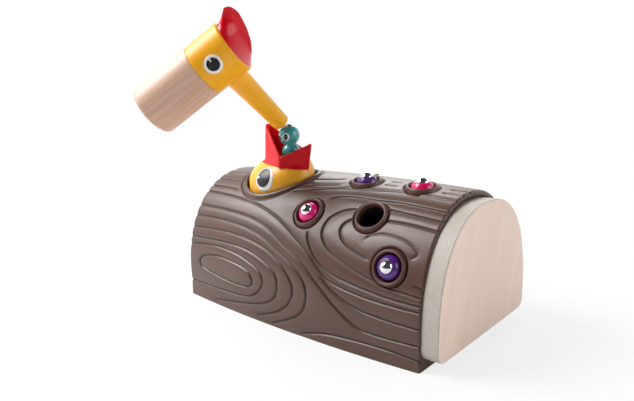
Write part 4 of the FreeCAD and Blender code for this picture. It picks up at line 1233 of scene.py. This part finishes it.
# Paints and plastics: darker and lighter colour, roughness, coat, unevenness and shine
PAINTS = {
    # Painted bounce light: the rims are a lighter, redder copy of the bark plastic, standing in for light
    # thrown back onto them from the log.
    "rim_bounce_tinted_plastic": ((0.105, 0.044, 0.031), (0.125, 0.055, 0.040), 0.40, 0.0, 0.06),
    "yellow_wood": ((0.91, 0.41, 0.013), (0.95, 0.45, 0.020), 0.32, 0.0, 0.03, 0.3),
    "yellow_plastic": ((0.88, 0.41, 0.02), (0.92, 0.46, 0.03), 0.36, 0.0, 0.03),
    "red_plastic": ((0.62, 0.004, 0.011), (0.70, 0.005, 0.015), 0.34, 0.0, 0.03, 0.18),
    "red_crest": ((0.62, 0.004, 0.012), (0.70, 0.005, 0.016), 0.16, 0.0, 0.04, 0.28),
    "worm_teal": ((0.035, 0.28, 0.31), (0.055, 0.35, 0.38), 0.22, 0.35, 0.03),
    "worm_pink": ((0.78, 0.006, 0.18), (0.84, 0.010, 0.22), 0.22, 0.3, 0.03),
    "worm_magenta": ((0.78, 0.003, 0.13), (0.84, 0.006, 0.16), 0.22, 0.3, 0.03),
    "worm_purple": ((0.075, 0.014, 0.18), (0.10, 0.022, 0.24), 0.22, 0.35, 0.03),
    "worm_green": ((0.24, 0.42, 0.06), (0.30, 0.50, 0.09), 0.22, 0.35, 0.03),
    "foot_rubber": ((0.018, 0.018, 0.018), (0.03, 0.03, 0.03), 0.75, 0.0, 0.3),
    "cup_plastic": ((0.012, 0.008, 0.007), (0.02, 0.013, 0.011), 0.6),
    "guide_plastic": ((0.70, 0.67, 0.60), (0.76, 0.73, 0.66), 0.45),
    "eye_white": ((0.84, 0.80, 0.77), (0.90, 0.87, 0.84), 0.40),
}
METALS = {
    "ball_steel": ((0.80, 0.81, 0.84), 0.06),
    "zinc_steel": ((0.62, 0.63, 0.66), 0.30),
    "spring_steel": ((0.50, 0.51, 0.54), 0.28),
}
MATERIALS = {}


def make_materials():
    m = MATERIALS
    m["bark_plastic"] = bark_material()
    m["plywood"] = plywood_material()
    m["board_ply"] = wood_material("board_ply", (0.66, 0.50, 0.35), (0.55, 0.40, 0.27), (0.80, 0.72, 0.62),
                                   axis=0)
    m["grip_wood"] = wood_material("grip_wood", (0.73, 0.50, 0.37), (0.62, 0.385, 0.27), (0.84, 0.72, 0.64),
                                   axis=2, scale=0.8, rough=0.42, matrix=hammer_frame())
    for name, values in PAINTS.items():
        m[name] = paint_material(name, *values)
    for name, values in METALS.items():
        m[name] = metal_material(name, *values)
    for name, shine in (("eye_black", 0.45), ("eye_ink", 0.1)):
        m[name] = dark_eye_material(name, shine)


def dress_nodes():
    slots = {entry["node"]: entry["material_slot"] for entry in frame["record"]["subparts"]}
    for name, node in frame["nodes"].items():
        material = MATERIALS[slots[name]]
        if not node.material_slots:
            node.data.materials.append(material)
        for slot in node.material_slots:
            slot.material = material


def main():
    bpy.context.scene.view_settings.view_transform = "Standard"
    make_camera()
    make_world()
    make_floor()
    for name, (place, size, power) in LAMPS.items():
        area_light(name, place, size, power)
    make_materials()
    dress_nodes()
    bark_skin()
    end_sills()
    hole_rims()
    nest_lip()
    paints = {"front_pink": "worm_pink", "front_purple": "worm_purple", "top_purple": "worm_purple",
              "top_magenta": "worm_magenta", "back_green": "worm_green"}
    for name, paint in paints.items():
        matrix = hole_frame(name)
        matrix.translation += matrix.col[2].to_3d() * HEAD_RISE
        worm(name, "worm_" + name, matrix, paint, (-0.5, 1.0, 0.0))
    mouth, _ = mouth_frame()
    worm("mouth_teal", "mouth_worm", mouth, "worm_teal", (0.0, -1.0, 0.0))
    nestling_head()
    nestling_eyes()
    nestling_beak()
    return_spring()
    hammer()


main()
